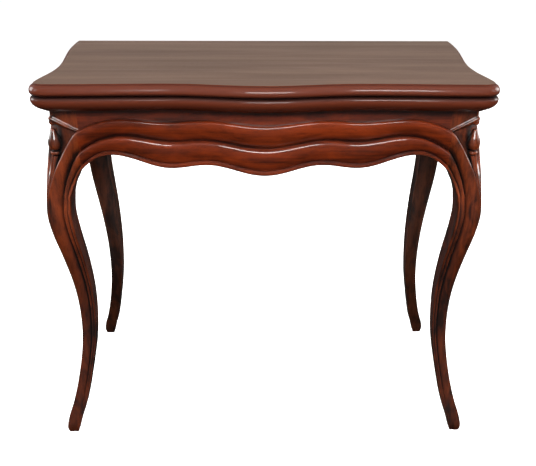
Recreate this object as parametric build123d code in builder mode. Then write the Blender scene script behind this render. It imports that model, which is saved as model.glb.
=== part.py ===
from build123d import *
import math
import os

# Fold-over card table with a swivelling top on four cabriole legs.
# Origin on the floor under the middle of the closed top. +Z up, the front is at -Y.

# Driving sizes of the top
height = 750.0             # floor to the closed top
fold_half_width = 428.0    # half the top's width at the fold line
waist_set_in = 38.0        # how far the hollow of each side lies behind that
corner_set_in = 31.0       # how far the front corners lie behind it
fold_depth = 236.0         # from the middle to the straight back edge, where the two leaves meet
corner_depth = 227.0       # from the middle to the front edge at the corners
hollow_depth = 6.0         # how far the front's hollows lie behind its corners
bow_depth = 18.0           # how far the middle of the front stands out from the hollows
corner_radius = 30.0
hollow_reach = 165.0       # from the middle to where the front's hollows are deepest
side_hollow_reach = 100.0  # from the middle forwards to where the side is narrowest
upper_leaf_thickness = 21.0
lower_leaf_thickness = 28.0
glide_gap = 1.0            # between the frame and the lower leaf

# Driving sizes of the frame
side_overhang = 8.0        # from the flat face above the mouldings to the hollow of the top's side
pivot_margin = 45.0        # from the pivot's line to the same face of the back
rail_thickness = 22.0
apron_depth = 123.0        # from the frame's top to the lowest point of its front
post_size = 49.0
front_bow = 12.0
side_bow = 5.0
front_bow_reach = 165.0
side_bow_reach = 80.0

# Driving sizes of the legs
knee_drop = 165.0          # from the frame's top to the knee
knee_size = 45.5
splay = 39.5               # how far the toe stands out from the post

# Fits
wood_fit = 0.2             # round a tenon, a peg or a let-in plate
running_fit = 0.05         # round a turning pin or bolt
overrun = 5.0              # how far a cut runs past the face that it starts from

fold_height = height - upper_leaf_thickness
leaf_bottom = fold_height - lower_leaf_thickness
frame_top = leaf_bottom - glide_gap
knee_height = frame_top - knee_drop
waist_half_width = fold_half_width - waist_set_in
corner_half_width = fold_half_width - corner_set_in
frame_half_length = waist_half_width - side_overhang
frame_half_depth = fold_depth / 2 + pivot_margin
joint_x = frame_half_length - post_size
joint_y = frame_half_depth - post_size
inner_x = frame_half_length - rail_thickness
inner_y = frame_half_depth - rail_thickness
half = 0.5
# Share of the splay at the knee's top
knee_out_share = 0.53
knee_outer = frame_half_length + knee_out_share * splay

side_steps = 10
front_steps = 16
front_rail_steps = 28
side_rail_steps = 12


def bell(share):
    """1 in the middle, 0 at a share of 1 and beyond, smooth at both."""
    return half + half * math.cos(math.pi * min(abs(share), 1))


def mix(start, end, share):
    return start + (end - start) * share


def mix_all(starts, ends, share):
    return [mix(a, b, share) for a, b in zip(starts, ends)]


def side_edge_x(y):
    """Half width of the top at y: it swells to the fold line and flares a little at the corner."""
    if y > -side_hollow_reach:
        share = (fold_depth - y) / (fold_depth + side_hollow_reach)
        return mix(waist_half_width, fold_half_width, bell(share))
    run = corner_depth - corner_radius - side_hollow_reach
    return mix(corner_half_width, waist_half_width, bell((y + side_hollow_reach) / run))


def front_edge_y(x):
    """Where the front edge lies at x: a bow between two hollows."""
    hollow = corner_depth - hollow_depth
    if abs(x) < hollow_reach:
        return -(hollow + bow_depth * bell(x / hollow_reach))
    run = corner_half_width - corner_radius - hollow_reach
    return -mix(corner_depth, hollow, bell((abs(x) - hollow_reach) / run))


def leaf_outline(inset, back_inset=0.0, radius=corner_radius):
    """Outline of a leaf, set in from its nose along the sides and the front."""
    back = fold_depth - back_inset
    corner_x = corner_half_width - inset
    corner_y = -(corner_depth - inset)
    side_stop = corner_y + radius
    front_stop = corner_x - radius
    side_ys = [mix(back, side_stop, k / side_steps) for k in range(side_steps)]
    right = [(side_edge_x(y) - inset, y) for y in side_ys] + [(corner_x, side_stop)]
    front_xs = [mix(front_stop, -front_stop, k / front_steps) for k in range(1, front_steps)]
    front = [(x, front_edge_y(x) + inset) for x in front_xs]
    front = [(front_stop, corner_y)] + front + [(-front_stop, corner_y)]
    left = [(-x, y) for x, y in reversed(right)]
    with BuildLine() as line:
        Spline(*right, tangents=((0, -1), (0, -1)))
        RadiusArc(right[-1], front[0], radius)
        Spline(*front, tangents=((-1, 0), (-1, 0)))
        RadiusArc(front[-1], left[0], radius)
        Spline(*left, tangents=((0, 1), (0, 1)))
        Line(left[-1], right[0])
    make_face(line.edges())


# Mouldings of the frame. From the bottom up: a bead, an inner roll, a valley and an outer roll, which ends in
# a narrow ledge under the flat face
roll_depth = 14.0       # how far the outer roll stands out from the flat face
knee_roll_depth = 4.5   # how deep the same mouldings are cut into the knee
# Shares of those depths: foot, bead, quirk, inner roll, valley, outer roll, crown
rail_out_shares = [0.36, 0.64, 0.43, 0.89, 0.43, 1, 0.55]
knee_dip_shares = [0.8, 0.45, 0.75, 0.35, 1, 0, 0.5]
rail_outs = [share * roll_depth for share in rail_out_shares]
knee_dips = [share * knee_roll_depth for share in knee_dip_shares]
bead_share = 0.1
roll_peak_share = 0.52
knee_valley_share = 0.2


def roll_edges(foot, valley, crown, outs):
    """The moulded face from foot to crown, drawn with x outwards and y upwards."""
    foot_out, bead_out, quirk_out, inner_out, valley_out, outer_out, crown_out = outs
    quirk = mix(foot, crown, bead_share)
    ThreePointArc((foot_out, foot), (bead_out, mix(foot, quirk, half)), (quirk_out, quirk))
    ThreePointArc((quirk_out, quirk), (inner_out, mix(quirk, valley, roll_peak_share)), (valley_out, valley))
    ThreePointArc((valley_out, valley), (outer_out, mix(valley, crown, roll_peak_share)), (crown_out, crown))


def rail_section(bow, foot, valley, crown):
    outs = [out + bow for out in rail_outs]
    with BuildLine() as line:
        roll_edges(foot, valley, crown, outs)
        Polyline((outs[-1], crown), (bow, crown), (bow, frame_top), (-rail_thickness, frame_top))
        Polyline((-rail_thickness, frame_top), (-rail_thickness, foot), (outs[0], foot))
    make_face(line.edges())


# Waves of the apron, from its middle to the joint with the leg: share of the way, share of the apron's depth
front_crown_shares = [(0, 0.252), (0.30, 0.195), (0.517, 0.22), (0.766, 0.179)]
front_valley_shares = [(0, 0.585), (0.33, 0.48), (0.495, 0.508), (0.766, 0.423)]
front_foot_shares = [(0, 1), (0.306, 0.854), (0.505, 0.911), (0.835, 0.70)]
side_crown_shares = [(0, 0.224), (0.316, 0.179)]
side_valley_shares = [(0, 0.52), (0.316, 0.423)]
side_foot_shares = [(0, 0.86), (0.52, 0.70)]
joint_crown_share = 0.356
joint_valley_share = 0.66
joint_foot_share = 0.935


def wave(table, end, share):
    """Height on a wavy line: it swings between the places of its table, then falls away to the joint."""
    share = abs(share)
    last_place, last_drop = table[-1]
    if share >= last_place:
        drop = mix(last_drop, end, ((share - last_place) / (1 - last_place)) ** 2)
    for (place, here), (next_place, there) in zip(table, table[1:]):
        if place <= share < next_place:
            drop = mix(there, here, bell((share - place) / (next_place - place)))
    return frame_top - apron_depth * drop


def rail_sections(joint, facing, tables, bow, bow_reach, steps):
    """Sections of a moulded rail from joint to joint. facing gives the plane of a section at its place."""
    crowns, valleys, feet = tables
    sections = []
    for k in range(steps + 1):
        place = mix(-joint, joint, k / steps)
        share = place / joint
        with BuildSketch(facing(place)) as section:
            rail_section(
                bow * bell(place / bow_reach),
                wave(feet, joint_foot_share, share),
                wave(valleys, joint_valley_share, share),
                wave(crowns, joint_crown_share, share),
            )
        sections.append(section.sketch)
    return sections


front_tables = (front_crown_shares, front_valley_shares, front_foot_shares)
side_tables = (side_crown_shares, side_valley_shares, side_foot_shares)


def front_plane(x):
    return Plane(origin=(x, -frame_half_depth, 0), x_dir=(0, -1, 0), z_dir=(-1, 0, 0))


def right_plane(y):
    return Plane(origin=(frame_half_length, y, 0), x_dir=(1, 0, 0), z_dir=(0, -1, 0))


# Leg, from the sole to the top of its post. It splays alike along X and Y.
# Share of the knee's height, of the splay, of the knee's size, and of the depth of its mouldings
leg_shares = [
    (0.0, 0.94, 0.42, 0.15),
    (0.02, 1.0, 0.54, 0.2),
    (0.045, 0.97, 0.60, 0.25),
    (0.08, 0.84, 0.635, 0.25),
    (0.12, 0.65, 0.615, 0.25),
    (0.17, 0.46, 0.595, 0.25),
    (0.23, 0.27, 0.58, 0.25),
    (0.30, 0.09, 0.585, 0.3),
    (0.38, -0.06, 0.615, 0.35),
    (0.47, -0.125, 0.655, 0.45),
    (0.56, -0.10, 0.715, 0.55),
    (0.65, 0.02, 0.79, 0.7),
    (0.75, 0.24, 0.885, 0.85),
    (0.85, 0.49, 0.965, 1.0),
    (0.93, 0.60, 0.995, 1.0),
    (1.0, knee_out_share, 1.0, 1.0),
]
# The arch, where the rail's mouldings turn down into the knee: share of the way from the joint to the knee,
# and share of the rise from the knee to the joint, for the crown and for the foot
arch_crown_shares = [(0, 1), (0.27, 0.83), (0.51, 0.61), (0.71, 0.41), (0.86, 0.21), (1, 0)]
arch_foot_shares = [(0, 1), (0.29, 0.79), (0.53, 0.56), (0.74, 0.36), (0.89, 0.17), (1, 0)]
# The haunch between the knee and the joint: share of the rise, of the way in to the post's inner face,
# of the splay, and the outer corner's radius as a share of the post's size
haunch_shares = [(0, 0, 0.38, 0.1), (0.5, 0.31, 0.26, 0.18), (1, 1, 0.14, 0.3)]
# The post above it: share of the rise to the frame's top, of the splay, and the corner's radius as before
post_shares = [(0, 0.14, 0.3), (0.23, 0.06, 0.42), (0.49, 0.01, 0.55), (0.7, 0.0, 0.6), (1, 0.0, 0.6)]
# The post's cap has a sharper corner than the post. Its lower edge is a lip that falls away from the corner.
cap_radius = 7.0
lip_drop = 20.0         # from the frame's top to the lip, at the corner
lip_slope_share = 0.7   # how far the lip falls, as a share of the way from the corner
knob_radius = 6.5
knob_set_in = 4.0


def leg_section(size, depth_share):
    """Square section with mouldings on its two outer faces, alike about the diagonal."""
    outs = [size - dip * depth_share for dip in knee_dips]
    with BuildLine(mode=Mode.PRIVATE) as face:
        roll_edges(0, knee_valley_share * size, outs[-1], outs)
    with BuildLine() as line:
        add(face.line)
        add(face.line.mirror(Plane(origin=(0, 0, 0), z_dir=(1, -1, 0))))
        Polyline((outs[0], 0), (0, 0), (0, outs[0]))
    make_face(line.edges())


def post_section(size, radius):
    """Square section with its outer corner rounded."""
    with BuildLine() as line:
        Polyline((size - radius, size), (0, size), (0, 0), (size, 0), (size, size - radius))
        RadiusArc((size, size - radius), (size - radius, size), -radius)
    make_face(line.edges())


def arch_section(width, valley, outs):
    """Section across the arch, from its foot to its crown."""
    with BuildLine() as line:
        roll_edges(0, valley, width, outs)
        Polyline((outs[-1], width), (-rail_thickness, width), (-rail_thickness, 0), (outs[0], 0))
    make_face(line.edges())


def corner_plane(inner, level):
    """Level plane of the front right leg. x and y run outwards from the section's inner corner."""
    inner_corner = (inner, frame_half_length - frame_half_depth - inner, level)
    return Plane(origin=inner_corner, x_dir=(1, 0, 0), z_dir=(0, 0, -1))


def leg_sections():
    sections = []
    for rise, out, thick, depth_share in leg_shares:
        size = thick * knee_size
        inner = frame_half_length + out * splay - size
        with BuildSketch(corner_plane(inner, rise * knee_height)) as section:
            leg_section(size, depth_share)
        sections.append(section.sketch)
    return sections


def haunch_sections():
    sections = []
    for rise, in_share, out, round_share in haunch_shares:
        inner = mix(knee_outer - knee_size, joint_x, in_share)
        size = frame_half_length + out * splay - inner
        with BuildSketch(corner_plane(inner, mix(knee_height, joint_foot, rise))) as section:
            post_section(size, round_share * post_size)
        sections.append(section.sketch)
    return sections


def post_sections():
    sections = []
    for rise, out, round_share in post_shares:
        with BuildSketch(corner_plane(joint_x, mix(joint_foot, frame_top, rise))) as section:
            post_section(post_size + out * splay, round_share * post_size)
        sections.append(section.sketch)
    return sections


def arch_sections():
    knee_outs = [knee_outer - frame_half_length - dip for dip in knee_dips]
    crown_x = knee_outer - knee_dips[-1]
    foot_x = knee_outer - knee_size
    steps = len(arch_crown_shares) - 1
    sections = []
    for k in range(steps + 1):
        share = k / steps
        foot_way, foot_rise = arch_foot_shares[k]
        crown_way, crown_rise = arch_crown_shares[k]
        foot_level = mix(knee_height, joint_foot, foot_rise)
        crown_level = mix(knee_height, joint_crown, crown_rise)
        foot = Vector(mix(joint_x, foot_x, foot_way), -frame_half_depth, foot_level)
        crown = Vector(mix(joint_x, crown_x, crown_way), -frame_half_depth, crown_level)
        across = crown - foot
        valley_share = mix(joint_valley_place, knee_valley_place, share)
        plane = Plane(origin=foot, x_dir=(0, -1, 0), z_dir=(-across.Z, 0, across.X))
        with BuildSketch(plane) as section:
            arch_section(across.length, valley_share * across.length, mix_all(rail_outs, knee_outs, share))
        sections.append(section.sketch)
    return sections


joint_foot = frame_top - joint_foot_share * apron_depth
joint_crown = frame_top - joint_crown_share * apron_depth
joint_valley_place = (joint_foot_share - joint_valley_share) / (joint_foot_share - joint_crown_share)
knee_valley_place = knee_valley_share * knee_size / (knee_size - knee_dips[-1])
leg_diagonal = Plane(origin=(frame_half_length - frame_half_depth, 0, 0), z_dir=(1, 1, 0))

# Carved bellflower on the corner of each post: a bud over a collar, and a stem that runs down to the knee
bud_drop = 37.0         # from the frame's top to the bud's
bud_height = 54.0
bud_radius = 10.5
bud_set_in = 7.0
# Share of the bud's radius and of its height: the bud, its neck, and the collar below
bud_shares = [(0.28, 1), (0.62, 0.85), (0.93, 0.64), (0.98, 0.48), (0.7, 0.27), (0.43, 0.18)]
collar_shares = [(0.43, 0.18), (0.76, 0.1), (0.43, 0.02)]
# Share of the rise from the knee to the bud's foot, of the splay, and of the bud's radius
stem_shares = [(0.04, 0.34, 0.24), (0.35, 0.22, 0.32), (0.66, 0.08, 0.4), (1, -0.05, 0.48)]
bud_top = frame_top - bud_drop
bud_x = frame_half_length - bud_set_in
bud_y = frame_half_depth - bud_set_in
bud_foot = bud_top - bud_height


def stem_sections():
    sections = []
    for rise, out, thick in stem_shares:
        centre = frame_half_length + out * splay
        level = mix(knee_height, bud_foot, rise)
        with BuildSketch(corner_plane(centre, level)) as section:
            Circle(thick * bud_radius)
        sections.append(section.sketch)
    return sections


def bud_points(shares):
    return [(out * bud_radius, bud_foot + rise * bud_height) for out, rise in shares]


# Tenons of the rails, let into the posts
tenon_length = 18.0
tenon_thickness = 8.0
tenon_height = 84.0
tenon_set_in = 7.0      # behind the flat face
tenon_shoulder = 14.0   # below the frame's top
tenon_level = frame_top - tenon_shoulder - tenon_height / 2


def front_tenon(side, fit, mode):
    y = -(frame_half_depth - tenon_set_in - tenon_thickness / 2)
    with Locations((side * (joint_x + (tenon_length + fit) / 2), y, tenon_level)):
        Box(tenon_length + fit, tenon_thickness + 2 * fit, tenon_height + 2 * fit, mode=mode)


def right_tenon(side, fit, mode):
    x = frame_half_length - tenon_set_in - tenon_thickness / 2
    with Locations((x, side * (joint_y + (tenon_length + fit) / 2), tenon_level)):
        Box(tenon_thickness + 2 * fit, tenon_length + fit, tenon_height + 2 * fit, mode=mode)


# Bearer of the pivot, housed across the frame between the front and back rails.
# The pivot lies a quarter of the open top's depth off the middle both ways, so that a quarter turn brings the
# fold line over the middle of the frame.
pivot_x = fold_depth / 2
pivot_y = fold_depth / 2
bearer_width = 86.0
bearer_thickness = 28.0
housing_depth = 6.0
bearer_bottom = frame_top - bearer_thickness

# Pivot: a bolt through a round plate let into the lower leaf, turning in a bush in the bearer
bolt_radius = 6.0
bolt_head_radius = 11.0
bolt_head_height = 3.0
bolt_tail = 4.0
pivot_plate_radius = 28.0
pivot_plate_thickness = 3.0
pivot_screw_reach = 20.0
pivot_screw_count = 4
bush_radius = 9.0
bush_flange_radius = 13.0
bush_clearance = 0.1
washer_radius = 14.0
washer_thickness = 2.0
nut_flats = 18.0
nut_height = 9.0
plate_top = leaf_bottom + pivot_plate_thickness
washer_bottom = bearer_bottom - washer_thickness
nut_bottom = washer_bottom - nut_height
bolt_bottom = nut_bottom - bolt_tail

# Stop peg under the lower leaf. It runs in a quadrant slot in the bearer and stops the top at both ends
# of its turn.
peg_radius = 4.0
peg_swing_radius = 38.0
peg_start = -135.0
quarter_turn = 90.0
peg_sunk = 12.0
peg_reach = 11.0
peg_clearance = 0.3
slot_depth = 13.0
peg_x = pivot_x + peg_swing_radius * math.cos(math.radians(peg_start))
peg_y = pivot_y + peg_swing_radius * math.sin(math.radians(peg_start))

# Card-table hinges: a plate let into the side of each leaf, with an eye round a pin on the fold line
hinge_thickness = 2.6
hinge_set_in = 3.2
hinge_length = 44.0
hinge_width = 9.5
hinge_drop = 4.0
hinge_gap = 0.2
eye_radius = 3.0
tab_length = 8.0
pin_radius = 1.3
pin_head_radius = 2.2
pin_head_height = 0.6
hinge_face = fold_half_width - hinge_set_in
hinge_back = hinge_face - hinge_thickness
mortise_height = hinge_drop + hinge_width + wood_fit
hinge_screw_shares = (0.32, 0.74)
hinge_screw_ys = [fold_depth - share * hinge_length for share in hinge_screw_shares]

# One size of countersunk wood screw
screw_radius = 1.6
screw_length = 13.0
screw_head_radius = 3.2
screw_head_height = 1.6


def screw(fit=0.0, mode=Mode.ADD):
    """Wood screw that points up, with its head's face at the origin."""
    low = (Align.CENTER, Align.CENTER, Align.MIN)
    Cylinder(screw_radius + fit, screw_length + fit, align=low, mode=mode)
    Cone(screw_head_radius + fit, screw_radius + fit, screw_head_height, align=low, mode=mode)


def screw_places(side, level):
    """Places of a hinge's screws, which point into the side of the leaf."""
    return [Location((side * hinge_face, y, level), (0, -side * quarter_turn, 0)) for y in hinge_screw_ys]


def pivot_screw_places():
    with PolarLocations(pivot_screw_reach, pivot_screw_count) as ring:
        spots = ring.local_locations
    return [Location((pivot_x, pivot_y, leaf_bottom)) * spot for spot in spots]


def hinge_mortise(side, up):
    """Pocket for a hinge plate in the side of a leaf. up is 1 in the upper leaf and -1 in the lower."""
    depth = hinge_set_in + hinge_thickness + wood_fit + overrun
    x = side * (hinge_back - wood_fit + depth / 2)
    y = fold_depth - (hinge_length + wood_fit - overrun) / 2
    with Locations((x, y, fold_height + up * mortise_height / 2)):
        Box(depth, hinge_length + wood_fit + overrun, mortise_height, mode=Mode.SUBTRACT)


def hinge_level(up):
    return fold_height + up * (hinge_drop + hinge_width / 2)


# Cloth on the playing faces, laid in shallow recesses
baize_margin = 48.0
baize_fold_margin = 3.0
baize_corner = 14.0
baize_thickness = 0.7
recess_depth = 1.0

# Edge mouldings of the leaves, as shares of a leaf's thickness and of its moulding's depth. The upper leaf
# has a thin square step over a round nose, the lower a full nose that is undercut to a narrow foot.
upper_moulding_depth = 7.6
upper_step_inset = 9.0
lower_moulding_depth = 24.0
upper_nose_shares = [(1, 0.5), (0.9, 0.14), (0.76, 0.01), (0.6, 0), (0.42, 0.1), (0.24, 0.42), (0.09, 1)]
lower_nose_shares = [
    (1, 1),
    (0.94, 0.88),
    (0.86, 0.68),
    (0.76, 0.44),
    (0.65, 0.25),
    (0.53, 0.11),
    (0.41, 0.035),
    (0.3, 0.005),
    (0.19, 0.005),
    (0.09, 0.06),
    (0, 0.19),
]


def leaf_sections(top, thickness, depth, shares):
    sections = []
    for drop, inset in shares:
        with BuildSketch(Plane.XY.offset(top - drop * thickness)) as section:
            leaf_outline(inset * depth, radius=corner_radius - inset * depth)
        sections.append(section.sketch)
    return sections


# Card well in the left of the frame
well_floor_thickness = 8.0
well_depth = 64.0
divider_thickness = 10.0
divider_gap = 13.0      # between the divider and the bearer
ledger_size = 12.0
well_floor_top = frame_top - well_depth
divider_x = pivot_x - bearer_width / 2 - divider_gap - divider_thickness / 2
well_floor_bottom = well_floor_top - well_floor_thickness

# Glue blocks in the corners
block_size = 24.0
block_height = 52.0
block_drop = 8.0

# Slips of cloth on the frame, on which the top slides
glide_width = 12.0
glide_thickness = 0.8
glide_end_margin = 24.0

# Upper leaf
with BuildPart() as upper_leaf:
    loft(leaf_sections(height, upper_leaf_thickness, upper_moulding_depth, upper_nose_shares))
    with BuildSketch(Plane.XY.offset(fold_height)):
        leaf_outline(upper_step_inset, radius=corner_radius - upper_step_inset)
    extrude(amount=upper_leaf_thickness)
    with BuildSketch(Plane.XY.offset(fold_height)):
        leaf_outline(baize_margin - wood_fit, baize_fold_margin - wood_fit, baize_corner)
    extrude(amount=recess_depth, mode=Mode.SUBTRACT)
    for side in (-1, 1):
        hinge_mortise(side, 1)
        with Locations(*screw_places(side, hinge_level(1))):
            screw(wood_fit, Mode.SUBTRACT)

# Lower leaf, with the pivot's plate and the stop peg let into its underside
with BuildPart() as lower_leaf:
    loft(leaf_sections(fold_height, lower_leaf_thickness, lower_moulding_depth, lower_nose_shares))
    with BuildSketch(Plane.XY.offset(fold_height)):
        leaf_outline(baize_margin - wood_fit, baize_fold_margin - wood_fit, baize_corner)
    extrude(amount=-recess_depth, mode=Mode.SUBTRACT)
    for side in (-1, 1):
        hinge_mortise(side, -1)
        with Locations(*screw_places(side, hinge_level(-1))):
            screw(wood_fit, Mode.SUBTRACT)
    with BuildSketch(Plane.XY.offset(leaf_bottom)):
        with Locations((pivot_x, pivot_y)):
            Circle(pivot_plate_radius + wood_fit)
    extrude(amount=pivot_plate_thickness, mode=Mode.SUBTRACT)
    with BuildSketch(Plane.XY.offset(leaf_bottom)):
        with Locations((pivot_x, pivot_y)):
            Circle(bolt_head_radius + wood_fit)
    extrude(amount=pivot_plate_thickness + bolt_head_height + wood_fit, mode=Mode.SUBTRACT)
    with BuildSketch(Plane.XY.offset(leaf_bottom)):
        with Locations((peg_x, peg_y)):
            Circle(peg_radius + wood_fit)
    extrude(amount=peg_sunk, mode=Mode.SUBTRACT)
    with Locations(*pivot_screw_places()):
        screw(wood_fit, Mode.SUBTRACT)

# Cloth of the playing faces
with BuildPart() as upper_baize:
    with BuildSketch(Plane.XY.offset(fold_height + recess_depth)):
        leaf_outline(baize_margin, baize_fold_margin, baize_corner)
    extrude(amount=-baize_thickness)

with BuildPart() as lower_baize:
    with BuildSketch(Plane.XY.offset(fold_height - recess_depth)):
        leaf_outline(baize_margin, baize_fold_margin, baize_corner)
    extrude(amount=baize_thickness)


def side_plane(x):
    """Upright plane across the table at x, drawn with y backwards and z upwards."""
    return Plane(origin=(x, 0, 0), x_dir=(0, 1, 0), z_dir=(1, 0, 0))


# Hinge plates of the right side. The lower plate's eye is the inner one.
eye_thickness = (hinge_thickness - hinge_gap) / 2
with BuildPart() as lower_right_hinge:
    with BuildSketch(side_plane(hinge_back)):
        with Locations((fold_depth - tab_length, hinge_level(-1))):
            Rectangle(hinge_length - tab_length, hinge_width, align=(Align.MAX, Align.CENTER))
    extrude(amount=hinge_thickness)
    with BuildSketch(side_plane(hinge_back)):
        with Locations((fold_depth, fold_height)):
            Rectangle(tab_length, hinge_drop + hinge_width, align=(Align.MAX, Align.MAX))
        with Locations((fold_depth, fold_height)):
            Circle(eye_radius)
    extrude(amount=eye_thickness)
    with BuildSketch(side_plane(hinge_back)):
        with Locations((fold_depth, fold_height)):
            Circle(pin_radius + running_fit)
    extrude(amount=hinge_thickness, mode=Mode.SUBTRACT)
    with Locations(*screw_places(1, hinge_level(-1))):
        screw(0.0, Mode.SUBTRACT)

with BuildPart() as upper_right_hinge:
    with BuildSketch(side_plane(hinge_back)):
        with Locations((fold_depth - tab_length, hinge_level(1))):
            Rectangle(hinge_length - tab_length, hinge_width, align=(Align.MAX, Align.CENTER))
    extrude(amount=hinge_thickness)
    with BuildSketch(side_plane(hinge_face)):
        with Locations((fold_depth, fold_height)):
            Rectangle(tab_length, hinge_drop + hinge_width, align=(Align.MAX, Align.MIN))
        with Locations((fold_depth, fold_height)):
            Circle(eye_radius)
    extrude(amount=-eye_thickness)
    with BuildSketch(side_plane(hinge_back)):
        with Locations((fold_depth, fold_height)):
            Circle(pin_radius + running_fit)
    extrude(amount=hinge_thickness, mode=Mode.SUBTRACT)
    with Locations(*screw_places(1, hinge_level(1))):
        screw(0.0, Mode.SUBTRACT)

with BuildPart() as lower_left_hinge:
    mirror(lower_right_hinge.part, about=Plane.YZ)

with BuildPart() as upper_left_hinge:
    mirror(upper_right_hinge.part, about=Plane.YZ)

with BuildPart() as hinge_pins:
    with BuildSketch(side_plane(hinge_back)):
        with Locations((fold_depth, fold_height)):
            Circle(pin_radius)
    extrude(amount=hinge_thickness)
    with BuildSketch(side_plane(hinge_face)):
        with Locations((fold_depth, fold_height)):
            Circle(pin_head_radius)
    extrude(amount=pin_head_height)
    mirror(about=Plane.YZ)

with BuildPart() as upper_hinge_screws:
    with Locations(*screw_places(-1, hinge_level(1)), *screw_places(1, hinge_level(1))):
        screw()

with BuildPart() as lower_hinge_screws:
    with Locations(*screw_places(-1, hinge_level(-1)), *screw_places(1, hinge_level(-1))):
        screw()

# Pivot
with BuildPart() as pivot_plate:
    with BuildSketch(Plane.XY.offset(leaf_bottom)):
        with Locations((pivot_x, pivot_y)):
            Circle(pivot_plate_radius)
            Circle(bolt_radius + running_fit, mode=Mode.SUBTRACT)
    extrude(amount=pivot_plate_thickness)
    with Locations(*pivot_screw_places()):
        screw(0.0, Mode.SUBTRACT)

with BuildPart() as pivot_screws:
    with Locations(*pivot_screw_places()):
        screw()

with BuildPart() as pivot_bolt:
    with BuildSketch(Plane.XY.offset(bolt_bottom)):
        with Locations((pivot_x, pivot_y)):
            Circle(bolt_radius)
    extrude(amount=plate_top - bolt_bottom)
    with BuildSketch(Plane.XY.offset(plate_top)):
        with Locations((pivot_x, pivot_y)):
            Circle(bolt_head_radius)
    extrude(amount=bolt_head_height)

with BuildPart() as pivot_bush:
    with BuildSketch(Plane.XY.offset(bearer_bottom)):
        with Locations((pivot_x, pivot_y)):
            Circle(bush_radius)
    extrude(amount=bearer_thickness)
    with BuildSketch(Plane.XY.offset(frame_top)):
        with Locations((pivot_x, pivot_y)):
            Circle(bush_flange_radius)
    extrude(amount=glide_gap - bush_clearance)
    with Locations((pivot_x, pivot_y, leaf_bottom)):
        Hole(bolt_radius + running_fit)

with BuildPart() as pivot_washer:
    with BuildSketch(Plane.XY.offset(washer_bottom)):
        with Locations((pivot_x, pivot_y)):
            Circle(washer_radius)
            Circle(bolt_radius + running_fit, mode=Mode.SUBTRACT)
    extrude(amount=washer_thickness)

with BuildPart() as pivot_nut:
    with BuildSketch(Plane.XY.offset(nut_bottom)):
        with Locations((pivot_x, pivot_y)):
            RegularPolygon(nut_flats / 2, 6, major_radius=False)
            Circle(bolt_radius + running_fit, mode=Mode.SUBTRACT)
    extrude(amount=nut_height)

with BuildPart() as stop_peg:
    with BuildSketch(Plane.XY.offset(frame_top - peg_reach)):
        with Locations((peg_x, peg_y)):
            Circle(peg_radius)
    extrude(amount=leaf_bottom + peg_sunk - frame_top + peg_reach)

# Bearer
with BuildPart() as pivot_bearer:
    with BuildSketch(Plane.XY.offset(bearer_bottom)):
        with Locations((pivot_x, 0)):
            Rectangle(bearer_width, 2 * (inner_y + housing_depth - wood_fit))
        with Locations((pivot_x, pivot_y)):
            Circle(bush_radius + running_fit, mode=Mode.SUBTRACT)
    extrude(amount=bearer_thickness)
    with BuildSketch(Plane.XY.offset(frame_top)):
        with BuildLine(mode=Mode.PRIVATE) as track:
            CenterArc((pivot_x, pivot_y), peg_swing_radius, peg_start, quarter_turn)
        SlotArc(track.edges()[0], 2 * (peg_radius + peg_clearance))
    extrude(amount=-slot_depth, mode=Mode.SUBTRACT)

# Rails
with BuildPart() as front_rail:
    loft(rail_sections(joint_x, front_plane, front_tables, front_bow, front_bow_reach, front_rail_steps))
    front_tenon(-1, 0.0, Mode.ADD)
    front_tenon(1, 0.0, Mode.ADD)
    with Locations((pivot_x, -(inner_y + housing_depth / 2), frame_top - bearer_thickness / 2)):
        Box(bearer_width, housing_depth, bearer_thickness, mode=Mode.SUBTRACT)

with BuildPart() as back_rail:
    mirror(front_rail.part, about=Plane.XZ)

with BuildPart() as right_rail:
    loft(rail_sections(joint_y, right_plane, side_tables, side_bow, side_bow_reach, side_rail_steps))
    right_tenon(-1, 0.0, Mode.ADD)
    right_tenon(1, 0.0, Mode.ADD)

with BuildPart() as left_rail:
    mirror(right_rail.part, about=Plane.YZ)

# Legs
with BuildPart() as arch:
    loft(arch_sections())

with BuildPart() as cap:
    with BuildSketch(corner_plane(joint_x, frame_top)):
        post_section(post_size, cap_radius)
    extrude(amount=post_size)
    lip = Vector(frame_half_length, -frame_half_depth, frame_top - lip_drop)
    split(bisect_by=Plane(origin=lip, z_dir=(-lip_slope_share, lip_slope_share, 1)), keep=Keep.TOP)

with BuildPart() as front_right_leg:
    loft(leg_sections())
    loft(haunch_sections(), ruled=True)
    loft(post_sections(), ruled=True)
    add(cap.part)
    add(arch.part)
    mirror(arch.part, about=leg_diagonal)
    loft(stem_sections(), ruled=True)
    with Locations((frame_half_length - knob_set_in, knob_set_in - frame_half_depth, frame_top - lip_drop)):
        Sphere(knob_radius)
    with BuildSketch(Plane(origin=(bud_x, -bud_y, 0), x_dir=(1, 0, 0), z_dir=(0, -1, 0))):
        with BuildLine():
            Spline(*bud_points(bud_shares))
            ThreePointArc(*bud_points(collar_shares))
            Polyline(bud_points(collar_shares)[-1], (0, bud_foot), (0, bud_top), bud_points(bud_shares)[0])
        make_face()
    revolve(axis=Axis((bud_x, -bud_y, 0), (0, 0, 1)))
    front_tenon(1, wood_fit, Mode.SUBTRACT)
    right_tenon(-1, wood_fit, Mode.SUBTRACT)

with BuildPart() as front_left_leg:
    mirror(front_right_leg.part, about=Plane.YZ)

with BuildPart() as back_right_leg:
    mirror(front_right_leg.part, about=Plane.XZ)

with BuildPart() as back_left_leg:
    mirror(front_left_leg.part, about=Plane.XZ)

# Glue blocks
low_block = frame_top - block_drop - block_height
with BuildPart() as front_right_block:
    with Locations((joint_x - block_size / 2, -(inner_y - block_size / 2), low_block + block_height / 2)):
        Box(block_size, block_size, block_height)

with BuildPart() as front_left_block:
    mirror(front_right_block.part, about=Plane.YZ)

with BuildPart() as back_right_block:
    mirror(front_right_block.part, about=Plane.XZ)

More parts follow.
